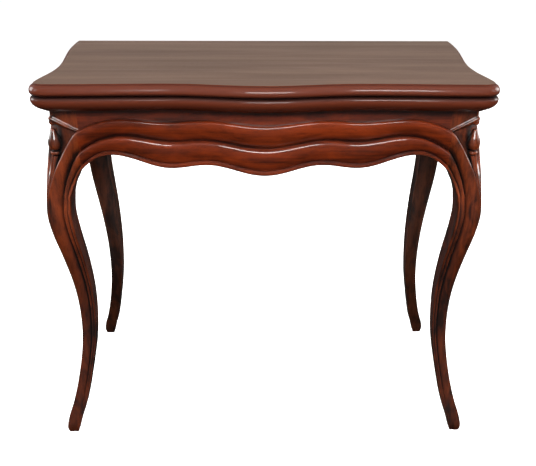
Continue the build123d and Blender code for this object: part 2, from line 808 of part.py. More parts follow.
with BuildPart() as back_left_block:
    mirror(front_left_block.part, about=Plane.XZ)

# Card well
well_right = divider_x + divider_thickness / 2
well_left = -(inner_x - wood_fit)
with BuildPart() as well_floor:
    with BuildSketch(Plane.XY.offset(well_floor_bottom)):
        with Locations(((well_left + well_right) / 2, 0)):
            Rectangle(well_right - well_left, 2 * (inner_y - wood_fit))
        notch = 2 * (post_size - rail_thickness + wood_fit)
        with Locations((-inner_x, -inner_y), (-inner_x, inner_y)):
            Rectangle(notch, notch, mode=Mode.SUBTRACT)
    extrude(amount=well_floor_thickness)

with BuildPart() as well_divider:
    with BuildSketch(Plane.XY.offset(well_floor_top)):
        with Locations((divider_x, 0)):
            Rectangle(divider_thickness, 2 * (inner_y - wood_fit))
    extrude(amount=frame_top - well_floor_top)

ledger_level = well_floor_bottom - ledger_size / 2
with BuildPart() as front_ledger:
    with Locations(((well_right - joint_x) / 2, -(inner_y - ledger_size / 2), ledger_level)):
        Box(well_right + joint_x, ledger_size, ledger_size)

with BuildPart() as back_ledger:
    mirror(front_ledger.part, about=Plane.XZ)

with BuildPart() as left_ledger:
    with Locations((-(inner_x - ledger_size / 2), 0, ledger_level)):
        Box(ledger_size, 2 * joint_y, ledger_size)

# Cloth slips on top of the frame
slip_x = frame_half_length - rail_thickness / 2
slip_y = frame_half_depth - rail_thickness / 2
with BuildPart() as glide_slips:
    with BuildSketch(Plane.XY.offset(frame_top)):
        with Locations((0, slip_y), (0, -slip_y)):
            Rectangle(2 * (joint_x - glide_end_margin), glide_width)
        with Locations((slip_x, 0), (-slip_x, 0)):
            Rectangle(glide_width, 2 * (joint_y - glide_end_margin))
    extrude(amount=glide_thickness)

pieces = {
    "upper_leaf": upper_leaf,
    "upper_baize": upper_baize,
    "upper_left_hinge": upper_left_hinge,
    "upper_right_hinge": upper_right_hinge,
    "upper_hinge_screws": upper_hinge_screws,
    "lower_leaf": lower_leaf,
    "lower_baize": lower_baize,
    "lower_left_hinge": lower_left_hinge,
    "lower_right_hinge": lower_right_hinge,
    "lower_hinge_screws": lower_hinge_screws,
    "hinge_pins": hinge_pins,
    "pivot_plate": pivot_plate,
    "pivot_screws": pivot_screws,
    "pivot_bolt": pivot_bolt,
    "pivot_washer": pivot_washer,
    "pivot_nut": pivot_nut,
    "stop_peg": stop_peg,
    "pivot_bush": pivot_bush,
    "pivot_bearer": pivot_bearer,
    "front_rail": front_rail,
    "back_rail": back_rail,
    "left_rail": left_rail,
    "right_rail": right_rail,
    "front_left_leg": front_left_leg,
    "front_right_leg": front_right_leg,
    "back_left_leg": back_left_leg,
    "back_right_leg": back_right_leg,
    "front_left_block": front_left_block,
    "front_right_block": front_right_block,
    "back_left_block": back_left_block,
    "back_right_block": back_right_block,
    "well_floor": well_floor,
    "well_divider": well_divider,
    "front_ledger": front_ledger,
    "back_ledger": back_ledger,
    "left_ledger": left_ledger,
    "glide_slips": glide_slips,
}
os.makedirs("parts", exist_ok=True)
for name, piece in pieces.items():
    piece.part.label = name
    export_step(piece.part, f"parts/{name}.step")
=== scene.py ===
import math

import bmesh
import bpy
import numpy as np
from mathutils import Matrix, Vector
from mathutils.bvhtree import BVHTree


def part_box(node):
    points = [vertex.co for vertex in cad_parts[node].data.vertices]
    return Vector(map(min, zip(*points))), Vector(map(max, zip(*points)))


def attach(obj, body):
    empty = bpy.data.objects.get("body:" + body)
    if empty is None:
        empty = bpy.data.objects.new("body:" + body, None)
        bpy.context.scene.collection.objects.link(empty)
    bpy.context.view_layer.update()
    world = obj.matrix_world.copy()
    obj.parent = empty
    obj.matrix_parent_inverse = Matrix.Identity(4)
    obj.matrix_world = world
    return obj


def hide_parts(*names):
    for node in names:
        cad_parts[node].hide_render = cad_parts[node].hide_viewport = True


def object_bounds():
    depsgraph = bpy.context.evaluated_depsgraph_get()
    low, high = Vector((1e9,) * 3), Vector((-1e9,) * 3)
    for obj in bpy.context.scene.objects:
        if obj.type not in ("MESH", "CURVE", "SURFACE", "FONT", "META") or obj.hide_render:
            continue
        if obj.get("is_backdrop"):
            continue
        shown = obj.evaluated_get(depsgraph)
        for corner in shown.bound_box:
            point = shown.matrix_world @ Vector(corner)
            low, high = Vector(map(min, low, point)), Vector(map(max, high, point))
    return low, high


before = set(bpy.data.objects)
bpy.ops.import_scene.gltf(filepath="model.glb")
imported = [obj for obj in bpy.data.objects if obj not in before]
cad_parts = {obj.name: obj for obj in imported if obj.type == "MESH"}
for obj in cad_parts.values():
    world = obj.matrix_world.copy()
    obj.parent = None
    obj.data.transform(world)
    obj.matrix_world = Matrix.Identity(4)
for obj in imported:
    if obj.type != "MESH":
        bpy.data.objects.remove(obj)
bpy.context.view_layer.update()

# The cabriole legs. Each is cut from one thick block of mahogany: a moulded leg that swells to a knee, an
# arch to each side where the rails' mouldings turn down, and a square post with a bellflower on its corner.
table_height = 0.750
frame_top = 0.700
face_x = 0.382            # flat face of the side rails
face_y = 0.163            # flat face of the long rails
apron_depth = 0.123
rail_thickness = 0.022
post_size = 0.049
joint_x = face_x - post_size
joint_y = face_y - post_size
knee_height = 0.535
knee_size = 0.0455
splay = 0.0395
knee_out_share = 0.53
knee_outer = face_x + knee_out_share * splay
roll_depth = 0.014
knee_roll_depth = 0.009
rail_out_shares = [0.35, 0.86, 0.42, 0.9, 0.18, 1, 0.68]
knee_dip_shares = [0.75, 0.25, 0.7, 0.5, 1, 0, 0.45]
rail_outs = np.array(rail_out_shares) * roll_depth
knee_dips = np.array(knee_dip_shares) * knee_roll_depth
bead_share = 0.1
inner_peak_share, outer_peak_share, knee_peak_share = 0.76, 0.88, 0.66  # how far up each roll stands out most
arch_rows = 40
arch_back_taper = 0.45    # how much narrower the arch is at its back, at the knee
knee_valley_share = 0.29
joint_crown_share, joint_valley_share, joint_foot_share = 0.356, 0.66, 0.935
# Share of the knee's height, of the splay, of the knee's size, and of the depth of its mouldings
leg_shares = [
    (0.0, 0.94, 0.42, 0.15),
    (0.02, 1.0, 0.54, 0.2),
    (0.045, 0.97, 0.60, 0.25),
    (0.08, 0.84, 0.635, 0.25),
    (0.12, 0.65, 0.615, 0.35),
    (0.17, 0.46, 0.595, 0.45),
    (0.23, 0.27, 0.58, 0.5),
    (0.30, 0.09, 0.585, 0.55),
    (0.38, -0.06, 0.615, 0.6),
    (0.47, -0.125, 0.655, 0.65),
    (0.56, -0.10, 0.715, 0.75),
    (0.65, 0.02, 0.79, 0.85),
    (0.75, 0.24, 0.885, 0.95),
    (0.85, 0.49, 0.965, 1.0),
    (0.93, 0.60, 0.995, 1.0),
    (1.0, knee_out_share, 1.0, 1.0),
]
# Share of the way out from the joint to the knee, and of the way up from the knee to the joint
arch_crown_shares = [(0, 1), (0.27, 0.83), (0.51, 0.61), (0.71, 0.41), (0.86, 0.21), (1, 0)]
arch_foot_shares = [(0, 1), (0.29, 0.79), (0.53, 0.56), (0.74, 0.36), (0.89, 0.17), (1, 0)]
arch_crown_start, arch_foot_start = (0.27, -0.082), (0.29, -0.149)    # how each line sets off at the joint
# Share of the way up, of the way in to the post, of the splay, and corner radius in sizes of the post
haunch_shares = [(0, 0, 0.32, 0.1), (0.5, 0.31, 0.21, 0.18), (1, 1, 0.12, 0.3)]
# Share of the way up, of the splay, and corner radius in sizes of the post
post_shares = [(0, 0.12, 0.3), (0.23, 0.02, 0.45), (0.49, -0.07, 0.58), (0.7, -0.09, 0.62), (1, -0.09, 0.62)]
joint_foot = frame_top - joint_foot_share * apron_depth
joint_crown = frame_top - joint_crown_share * apron_depth
joint_valley_place = (joint_foot_share - joint_valley_share) / (joint_foot_share - joint_crown_share)
knee_valley_place = knee_valley_share * knee_size / (knee_size - knee_dips[-1])


def mix(start, end, share):
    """The value that lies a share of the way from start to end."""
    return start + (end - start) * share


def bell(share):
    """Falls smoothly from 1 in the middle to 0 at a share of 1 to either side."""
    return 0.5 + 0.5 * math.cos(math.pi * min(abs(share), 1))


def smooth_rows(rows, count, start=None):
    """Rows of a table, spaced finer by a smooth curve through them, which may start off in a given way."""
    rows = np.array(rows, float)
    before = 2 * rows[0] - rows[1] if start is None else rows[1] - 2 * np.array(start)
    padded = np.vstack([before, rows, 2 * rows[-1] - rows[-2]])
    fine = []
    for place in np.linspace(0, len(rows) - 1, count):
        k = min(int(place), len(rows) - 2)
        t = place - k
        a, b, c, d = padded[k : k + 4]
        fine.append(b + 0.5 * t * (c - a + t * (2 * a - 5 * b + 4 * c - d + t * (3 * (b - c) + d - a))))
    return fine


def arc(a, b, c, count):
    """Points on the circle through a, b and c, the last one left out."""
    (ax, ay), (bx, by), (cx, cy) = a, b, c
    twice_area = 2 * (ax * (by - cy) + bx * (cy - ay) + cx * (ay - by))
    if abs(twice_area) < 1e-12:
        return [(mix(ax, cx, k / count), mix(ay, cy, k / count)) for k in range(count)]
    squares = [ax * ax + ay * ay, bx * bx + by * by, cx * cx + cy * cy]
    mid_x = (squares[0] * (by - cy) + squares[1] * (cy - ay) + squares[2] * (ay - by)) / twice_area
    mid_y = (squares[0] * (cx - bx) + squares[1] * (ax - cx) + squares[2] * (bx - ax)) / twice_area
    radius = math.hypot(ax - mid_x, ay - mid_y)
    start, through, end = (math.atan2(y - mid_y, x - mid_x) for x, y in (a, b, c))
    turn = (end - start) % math.tau
    if (through - start) % math.tau > turn:
        turn -= math.tau
    angles = [start + turn * k / count for k in range(count)]
    return [(mid_x + radius * math.cos(angle), mid_y + radius * math.sin(angle)) for angle in angles]


def roll(start, peak, end, count):
    """A roll from start to end, steep and round above its peak. The last point is left out."""
    rise_power = 0.85
    points = []
    for k in range(count):
        t = 2 * k / count
        if t < 1:
            bend = math.sin(math.pi / 2 * t) ** rise_power
            points.append((mix(start[0], peak[0], bend), mix(start[1], peak[1], t)))
        else:
            turn = math.pi / 2 * (t - 1)
            points.append((mix(end[0], peak[0], math.cos(turn)), mix(peak[1], end[1], math.sin(turn))))
    return points


def moulded_face(foot, valley, crown, outs, outer_peak=outer_peak_share):
    """Section of the mouldings as (out, up) points: bead, inner roll, valley, outer roll."""
    quirk = mix(foot, crown, bead_share)
    return (
        arc((outs[0], foot), (outs[1], mix(foot, quirk, 0.5)), (outs[2], quirk), 5)
        + roll((outs[2], quirk), (outs[3], mix(quirk, valley, inner_peak_share)), (outs[4], valley), 12)
        + roll((outs[4], valley), (outs[5], mix(valley, crown, outer_peak)), (outs[6], crown), 16)
        + [(outs[6], crown)]
    )


def new_object(name, data):
    """An object in the scene, at the origin, with the mesh, lamp or camera given."""
    made = bpy.data.objects.new(name, data)
    bpy.context.scene.collection.objects.link(made)
    return made


def solid(name, rings):
    """Closed mesh from rings of as many points each, with a flat face at both ends."""
    points = [tuple(p) for ring in rings for p in ring]
    size = len(rings[0])
    faces = [tuple(range(size)), tuple(range((len(rings) - 1) * size, len(rings) * size))[::-1]]
    for k in range(len(rings) - 1):
        for i in range(size):
            j = (i + 1) % size
            faces.append((k * size + i, (k + 1) * size + i, (k + 1) * size + j, k * size + j))
    mesh = bpy.data.meshes.new(name)
    mesh.from_pydata(points, [], faces)
    shape = bmesh.new()
    shape.from_mesh(mesh)
    bmesh.ops.remove_doubles(shape, verts=shape.verts, dist=1e-6)
    bmesh.ops.recalc_face_normals(shape, faces=shape.faces)
    shape.to_mesh(mesh)
    shape.free()
    return new_object(name, mesh)


def keep_mesh(piece):
    """Turns what the modifiers make into the piece's own mesh."""
    graph = bpy.context.evaluated_depsgraph_get()
    mesh = bpy.data.meshes.new_from_object(piece.evaluated_get(graph))
    piece.modifiers.clear()
    piece.data = mesh


def join(piece, others, operation="UNION"):
    """Joins other solids to a piece, or cuts them from it, and removes them."""
    for other in others:
        cut = piece.modifiers.new("join", "BOOLEAN")
        cut.object = other
        cut.operation = operation
        cut.solver = "MANIFOLD"
    keep_mesh(piece)
    for other in others:
        bpy.data.objects.remove(other)


def mirrored(piece, name, scale):
    """A copy of a piece on the other side of the table, with its faces turned the right way again."""
    mesh = piece.data.copy()
    mesh.transform(Matrix.Diagonal((*scale, 1)))
    if scale[0] * scale[1] * scale[2] < 0:
        mesh.flip_normals()
    return new_object(name, mesh)


def leg_rings():
    """Level rings of the front right leg. y runs outwards here, towards the front."""
    rings = []
    for rise, out, thick, depth_share in smooth_rows(leg_shares, 90):
        size = thick * knee_size
        inner = face_x + out * splay - size
        outs = size - knee_dips * depth_share
        face = moulded_face(0, knee_valley_share * size, outs[-1], outs, knee_peak_share)
        ring = face + [(y, x) for x, y in face[-2::-1]] + [(0, 0)]
        rings.append([(inner + x, inner - face_x + face_y + y, rise * knee_height) for x, y in ring])
    return rings


def rounded_corner(corner, radius):
    """The rounded outer corner of a post, as points on a quarter circle about (corner, corner)."""
    turns = [math.pi / 2 * k / 10 for k in range(11)]
    return [(corner + radius * math.cos(t), corner + radius * math.sin(t)) for t in turns]


def square_rings(rows):
    """Rings of the haunch or the post. A row has an inner corner, a size, a corner radius and a height."""
    rings = []
    for inner, size, radius, level in rows:
        ring = rounded_corner(size - radius, radius) + [(0, size), (0, 0), (size, 0)]
        rings.append([(inner + x, inner - face_x + face_y + y, level) for x, y in ring])
    return rings


def haunch_rows():
    """Rows of the haunch, which widens from the knee to the post."""
    rows = []
    for rise, in_share, out, round_share in smooth_rows(haunch_shares, 16):
        inner = mix(knee_outer - knee_size, joint_x, in_share)
        level = mix(knee_height, joint_foot, rise)
        rows.append((inner, face_x + out * splay - inner, round_share * post_size, level))
    return rows


def post_rows():
    """Rows of the post, from the rails' foot to the frame's top."""
    rows = []
    for rise, out, round_share in smooth_rows(post_shares, 24):
        level = mix(joint_foot, frame_top, rise)
        rows.append((joint_x, post_size + out * splay, round_share * post_size, level))
    return rows


def arch_rings():
    """Rings across the arch of the front face, from the rail's joint down to the knee."""
    knee_outs = knee_outer - face_x - knee_dips
    crown_x = knee_outer - knee_dips[-1]
    foot_x = knee_outer - knee_size
    rings = []
    for k, ((foot_way, foot_rise), (crown_way, crown_rise)) in enumerate(
        zip(
            smooth_rows(arch_foot_shares, arch_rows, arch_foot_start),
            smooth_rows(arch_crown_shares, arch_rows, arch_crown_start),
        )
    ):
        share = k / (arch_rows - 1)
        foot = np.array((mix(joint_x, foot_x, foot_way), mix(knee_height, joint_foot, foot_rise)))
        crown = np.array((mix(joint_x, crown_x, crown_way), mix(knee_height, joint_crown, crown_rise)))
        width = np.linalg.norm(crown - foot)
        along = (crown - foot) / width
        valley = mix(joint_valley_place, knee_valley_place, share * share * (3 - 2 * share)) * width
        outer_peak = mix(outer_peak_share, knee_peak_share, share)
        face = moulded_face(0, valley, width, mix(rail_outs, knee_outs, share), outer_peak)
        ring = face + [(-rail_thickness, width * (1 - arch_back_taper * share)), (-rail_thickness, 0)]
        rings.append([(foot[0] + along[0] * up, face_y + out, foot[1] + along[1] * up) for out, up in ring])
    return rings


def swap_faces(rings):
    """The same rings on the leg's other face, about the leg's diagonal."""
    return [[(y - face_y + face_x, x - face_x + face_y, z) for x, y, z in ring] for ring in rings]


# The post's cap, whose lower edge is a lip that falls away from the corner, with a knob where the lips meet
cap_radius = 0.007
lip_drop = 0.029
lip_slope_share = 0.43
knob_radius = 0.0065
knob_set_in = 0.004
lip_swell_corner, lip_swell_end = 1.7, 0.8     # how tall the lip's ridge is at the corner and by the rail
# Rise above the lip, and how far the cap's faces stand out there
lip_rows = [(0.0, -0.004), (0.0006, 0.0002), (0.0018, 0.0021), (0.0036, 0.0028)]
lip_rows += [(0.0056, 0.0018), (0.0080, 0.0005), (0.0105, 0.0), (0.013, 0.0)]


def cap_rings():
    """Rings of the cap, each one following the lip. The last one is the level top."""
    rings = []
    for rise, out in [tuple(row) for row in smooth_rows(lip_rows, 19)] + [(None, 0.0)]:
        size = post_size + out
        corner = size - cap_radius
        ring = rounded_corner(corner, cap_radius)
        side = [size * k / 12 for k in range(1, 12)]
        ring += [(x, size) for x in side[::-1] if x < corner] + [(0, size), (0, 0), (size, 0)]
        ring += [(size, y) for y in side if y < corner]
        placed = []
        for x, y in ring:
            away = 2 * post_size - x - y
            lip = frame_top - lip_drop - lip_slope_share * away
            swell = mix(lip_swell_corner, lip_swell_end, min(1.0, away / post_size))
            level = frame_top if rise is None else min(lip + swell * rise, frame_top)
            placed.append((joint_x + x, joint_y + y, level))
        rings.append(placed)
    return rings


def knob_rings():
    """Rings of the round knob, from just over its lowest point to just under its highest."""
    rings = []
    last_tilt = 0.49 * math.pi
    centre_x, centre_y = face_x - knob_set_in, face_y - knob_set_in
    angles = [math.tau * k / 28 for k in range(28)]
    for tilt in np.linspace(-last_tilt, last_tilt, 16):
        wide, level = knob_radius * math.cos(tilt), frame_top - lip_drop + knob_radius * math.sin(tilt)
        rings.append([(centre_x + wide * math.cos(a), centre_y + wide * math.sin(a), level) for a in angles])
    return rings


# Bellflower: a bud with three petals over a ring and a collar, and a two-stalk stem below
bud_top = 0.658
bud_height = 0.049
bud_radius = 0.0124
bud_set_in = 0.0036
bud_x = face_x - bud_set_in
bud_y = face_y - bud_set_in
petal_count, petal_depth, petal_foot, petal_sharpness = 3, 0.1, 0.2, 6
stalk_apart_share, stalk_radius_share = 0.5, 0.75
# Share of the bud's radius and of its height
bud_shares = [(0.1, 1), (0.3, 0.98), (0.45, 0.9), (0.62, 0.79), (0.84, 0.65)]
bud_shares += [(0.98, 0.5), (0.98, 0.38), (0.8, 0.27), (0.5, 0.21), (0.44, 0.19)]
collar_shares = [(0.44, 0.19), (0.7, 0.16), (0.78, 0.11), (0.7, 0.05), (0.44, 0.01)]
# Share of the way up from the knee, of the splay, and of the bud's radius
stem_shares = [(0.04, 0.34, 0.24), (0.35, 0.22, 0.32), (0.66, 0.08, 0.4), (1, -0.05, 0.48)]
bud_foot = bud_top - bud_height


def bud_rings():
    """Rings of the bud and the collar under it, with three folds between the petals."""
    rings = []
    profile = smooth_rows(bud_shares, 40) + smooth_rows(collar_shares, 16)[1:]
    for radius, rise in profile:
        petals = petal_depth * max(0.0, rise - petal_foot)
        ring = []
        for k in range(48):
            angle = math.tau * k / 48
            fold = 1 - petals * abs(math.cos(petal_count / 2 * (angle - math.pi / 4))) ** petal_sharpness
            out = radius * bud_radius * fold
            x, y = bud_x + out * math.cos(angle), bud_y + out * math.sin(angle)
            ring.append((x, y, bud_foot + rise * bud_height))
        rings.append(ring)
    return rings


def stalk_rings(side):
    """One of the two stalks of the stem, side by side on the corner."""
    rings = []
    for rise, out, thick in smooth_rows(stem_shares, 20):
        centre = face_x + out * splay
        apart = side * stalk_apart_share * thick * bud_radius
        level = mix(knee_height, bud_foot, rise)
        radius = stalk_radius_share * thick * bud_radius
        ring = []
        for k in range(16):
            angle = math.tau * k / 16
            x = centre + apart + radius * math.cos(angle)
            ring.append((x, centre - face_x + face_y - apart + radius * math.sin(angle), level))
        rings.append(ring)
    return rings


def closed_share(mesh):
    """How much of the space before each point the piece itself closes off, as in a deep hollow."""
    way_count, golden_angle, lift, reach = 24, 2.39996, 0.0005, 0.03
    corners = [tuple(face.vertices) for face in mesh.polygons]
    tree = BVHTree.FromPolygons([v.co for v in mesh.vertices], corners)
    ways = []
    for k in range(way_count):
        level = (k + 0.5) / way_count
        wide, angle = math.sqrt(1 - level * level), golden_angle * k
        ways.append(Vector((wide * math.cos(angle), wide * math.sin(angle), level)))
    shares = []
    for vertex, outward in zip(mesh.vertices, mesh.vertex_normals):
        normal = outward.vector
        start = vertex.co + lift * normal
        met, total = 0.0, 0.0
        for way in ways:
            lean = way.dot(normal)
            total += abs(lean)
            if tree.ray_cast(start, way if lean > 0 else -way, reach)[0]:
                met += abs(lean)
        shares.append(met / total)
    return np.array(shares)


def mark_wear(mesh):
    """Stores how closed off each point is, as a hollow mark of painted shade and dark old polish, and how
    sharply it bends, as a worn edge.
    """
    blur_rounds, hollow_start, hollow_gain = 4, 0.1, 2.1
    edge_start, edge_range = 60, 300        # bends, as one over a radius in metres
    shortest, least_weight = 1e-5, 1e-9     # keep the divisions from zero
    count = len(mesh.vertices)
    places = np.empty(count * 3)
    mesh.vertices.foreach_get("co", places)
    places = places.reshape(-1, 3)
    normals = np.empty(count * 3)
    mesh.vertex_normals.foreach_get("vector", normals)
    normals = normals.reshape(-1, 3)
    ends = np.empty(len(mesh.edges) * 2, int)
    mesh.edges.foreach_get("vertices", ends)
    a, b = ends.reshape(-1, 2).T
    step = places[b] - places[a]
    weight = np.linalg.norm(step, axis=1) + shortest
    bend = ((normals[b] - normals[a]) * step).sum(1) / weight**2
    total = np.bincount(a, weight, count) + np.bincount(b, weight, count) + least_weight
    curve = (np.bincount(a, weight * bend, count) + np.bincount(b, weight * bend, count)) / total
    for _ in range(blur_rounds):
        spread = np.bincount(a, weight * curve[b], count) + np.bincount(b, weight * curve[a], count)
        curve = 0.5 * curve + 0.5 * spread / total
    # The hollow mark is painted shade in the piece's own recesses, with dark old polish gathered there too
    hollow = hollow_gain * (closed_share(mesh) - hollow_start)
    for name, value in (("hollow", hollow), ("worn", (curve - edge_start) / edge_range)):
        marks = mesh.attributes.new(name, "FLOAT", "POINT")
        marks.data.foreach_set("value", np.clip(value, 0, 1).astype(np.float32))


def finish_mesh(piece):
    """Smooth shading with creases at sharp edges, the marks of wear, and the hollow marks of painted shade
    and old polish.
    """
    crease_angle = 35
    piece.data.shade_smooth()
    piece.data.set_sharp_from_angle(angle=math.radians(crease_angle))
    mark_wear(piece.data)


def linear(red, green, blue):
    """A colour as seen, 0 to 255, as the light that it gives back."""
    shares = [value / 255 for value in (red, green, blue)]
    return [s / 12.92 if s <= 0.04045 else ((s + 0.055) / 1.055) ** 2.4 for s in shares] + [1.0]


def new_material(name):
    """A material with its node tree and its surface node."""
    material = bpy.data.materials.new(name)
    material.use_nodes = True
    return material, material.node_tree, material.node_tree.nodes["Principled BSDF"]


def add_node(tree, kind, inputs=None, **settings):
    """Adds a node. An input that is a socket is linked, and any other value is set."""
    made = tree.nodes.new(kind)
    for name, value in settings.items():
        setattr(made, name, value)
    for name, value in (inputs or {}).items():
        if isinstance(value, bpy.types.NodeSocket):
            tree.links.new(value, made.inputs[name])
        else:
            made.inputs[name].default_value = value
    return made


def shader_group(name, inputs, outputs):
    """An empty shader group with named sockets, and its two end nodes."""
    tree = bpy.data.node_groups.new(name, "ShaderNodeTree")
    for label, kind, value in inputs:
        socket = tree.interface.new_socket(label, in_out="INPUT", socket_type=kind)
        if value is not None:
            socket.default_value = value
    for label, kind in outputs:
        tree.interface.new_socket(label, in_out="OUTPUT", socket_type=kind)
    return tree, tree.nodes.new("NodeGroupInput"), tree.nodes.new("NodeGroupOutput")


def stretched_noise(tree, vector, stretch, detail, roughness, distortion=0.0):
    """Noise as fine along each axis as stretch says."""
    scaled = add_node(tree, "ShaderNodeVectorMath", {0: vector, 1: stretch}, operation="MULTIPLY")
    settings = {"Vector": scaled.outputs[0], "Scale": 1.0, "Detail": detail}
    settings |= {"Roughness": roughness, "Distortion": distortion}
    return add_node(tree, "ShaderNodeTexNoise", settings).outputs["Fac"]


def mapped(tree, value, low, high, to_low=0.0, to_high=1.0):
    """A value brought from one range to another, and held inside it."""
    limits = {"Value": value, "From Min": low, "From Max": high, "To Min": to_low, "To Max": to_high}
    return add_node(tree, "ShaderNodeMapRange", limits).outputs["Result"]


def mixed(tree, share, a, b):
    """Colour a turning into colour b as the share rises."""
    made = add_node(tree, "ShaderNodeMix", {"Factor": share}, data_type="RGBA")
    for socket, value in ((made.inputs[6], a), (made.inputs[7], b)):
        if isinstance(value, bpy.types.NodeSocket):
            tree.links.new(value, socket)
        else:
            socket.default_value = value
    return made.outputs[2]


def arithmetic(tree, operation, a, b=0.0):
    """The result of one sum on two numbers."""
    return add_node(tree, "ShaderNodeMath", {0: a, 1: b}, operation=operation).outputs[0]


# Mahogany and the plainer woods: one pattern of grain, with colours, wear, old polish and painted shade from
# each finish
colour_kind, number_kind, vector_kind = "NodeSocketColor", "NodeSocketFloat", "NodeSocketVector"
wood_grain, given, result = shader_group(
    "wood_grain",
    [
        ("Vector", vector_kind, None),
        ("Pale", colour_kind, None),
        ("Dark", colour_kind, None),
        ("Hollow Colour", colour_kind, None),
        ("Worn Colour", colour_kind, None),
        ("Hollow", number_kind, 0.0),
        ("Worn", number_kind, 0.0),
        ("Mottle", number_kind, 0.3),
        ("Gloss", number_kind, 0.3),
    ],
    [("Colour", colour_kind), ("Roughness", number_kind), ("Height", number_kind)],
)
# x runs along the grain. Broad figure, fine lines of growth, cross mottle, and short dark pores
sockets = given.outputs
pore_strength = 0.5
figure = stretched_noise(wood_grain, sockets["Vector"], (2.2, 24, 24), 4, 0.55, 0.5)
lines = stretched_noise(wood_grain, sockets["Vector"], (5, 190, 190), 3, 0.6)
mottle = stretched_noise(wood_grain, sockets["Vector"], (16, 42, 42), 4, 0.6, 0.6)
pores = stretched_noise(wood_grain, sockets["Vector"], (90, 1500, 1500), 2, 0.5)
pore_mask = mapped(wood_grain, pores, 0.6, 0.7)
line_part = mapped(wood_grain, lines, 0.3, 0.7, -0.25, 0.25)
grain = arithmetic(wood_grain, "ADD", mapped(wood_grain, figure, 0.3, 0.7), line_part)
mottle_range = mapped(wood_grain, mottle, 0.3, 0.7, -1, 1)
mottle_part = arithmetic(wood_grain, "MULTIPLY", mottle_range, sockets["Mottle"])
grain = arithmetic(wood_grain, "ADD", grain, mottle_part)
grain_mask = mapped(wood_grain, grain, 0.0, 1.0)
colour = mixed(wood_grain, grain_mask, sockets["Pale"], sockets["Dark"])
pore_share = arithmetic(wood_grain, "MULTIPLY", pore_mask, pore_strength)
colour = mixed(wood_grain, pore_share, colour, sockets["Hollow Colour"])
colour = mixed(wood_grain, sockets["Worn"], colour, sockets["Worn Colour"])
# Painted shade and dark old polish in the hollows
colour = mixed(wood_grain, sockets["Hollow"], colour, sockets["Hollow Colour"])
wood_grain.links.new(colour, result.inputs["Colour"])
rough = arithmetic(wood_grain, "ADD", sockets["Gloss"], mapped(wood_grain, figure, 0.3, 0.7, 0.0, 0.07))
dull_hollows = arithmetic(wood_grain, "MULTIPLY", sockets["Hollow"], 0.25)
wood_grain.links.new(arithmetic(wood_grain, "ADD", rough, dull_hollows), result.inputs["Roughness"])
line_height = mapped(wood_grain, lines, 0.3, 0.7, 0, 0.25)
wood_grain.links.new(arithmetic(wood_grain, "SUBTRACT", line_height, pore_mask), result.inputs["Height"])
# The dark of the pores, and of the hollow marks, which paint shade and old polish into the hollows
pores_polish_and_shade, worn_brown = (22, 5, 3), (150, 74, 48)


def wood(
    name, along, pale, dark, hollow=pores_polish_and_shade, worn=worn_brown,
    mottle=0.3, gloss=0.38, polish=0.5, low_shade=0.0,
):
    """A wood finish with its grain along x, y or z. The last argument is how much painted shade darkens it
    below the knee.
    """
    shade_start, shade_full = 0.53, 0.38
    material, tree, surface = new_material(name)
    surface.inputs["Coat Weight"].default_value = polish
    surface.inputs["Coat Roughness"].default_value = 0.1
    surface.inputs["Specular IOR Level"].default_value = 0.12
    place = add_node(tree, "ShaderNodeTexCoord").outputs["Object"]
    grain_turn = {"x": (0, 0, 0), "y": (0, 0, math.pi / 2), "z": (0, math.pi / 2, 0)}[along]
    turned = add_node(tree, "ShaderNodeMapping", {"Vector": place, "Rotation": grain_turn})
    hollow_mask = add_node(tree, "ShaderNodeAttribute", attribute_name="hollow").outputs["Fac"]
    worn_mask = add_node(tree, "ShaderNodeAttribute", attribute_name="worn").outputs["Fac"]
    # Painted shade: darker below the knee, where less light reaches the legs
    if low_shade:
        rise = add_node(tree, "ShaderNodeSeparateXYZ", {"Vector": place}).outputs["Z"]
        low_shade_mask = mapped(tree, rise, shade_start, shade_full, 0.0, low_shade)
        hollow_mask = arithmetic(tree, "ADD", hollow_mask, low_shade_mask)
    grain_node = add_node(tree, "ShaderNodeGroup", node_tree=wood_grain)
    tree.links.new(turned.outputs[0], grain_node.inputs["Vector"])
    tree.links.new(hollow_mask, grain_node.inputs["Hollow"])
    tree.links.new(worn_mask, grain_node.inputs["Worn"])
    for label, tint in (("Pale", pale), ("Dark", dark), ("Hollow Colour", hollow), ("Worn Colour", worn)):
        grain_node.inputs[label].default_value = linear(*tint)
    grain_node.inputs["Mottle"].default_value = mottle
    grain_node.inputs["Gloss"].default_value = gloss
    relief = {"Height": grain_node.outputs["Height"], "Strength": 0.25, "Distance": 0.0004}
    bump = add_node(tree, "ShaderNodeBump", relief)
    tree.links.new(grain_node.outputs["Colour"], surface.inputs["Base Color"])
    tree.links.new(grain_node.outputs["Roughness"], surface.inputs["Roughness"])
    tree.links.new(bump.outputs["Normal"], surface.inputs["Normal"])
    return material


def finish_with(piece, material):
    """Gives a piece its material and the name of its slot."""
    piece.data.materials.clear()
    piece.data.materials.append(material)


def put_on(piece, material, body):
    """Gives a piece its finish, and lets it ride on its body."""
    finish_with(piece, material)
    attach(piece, body)
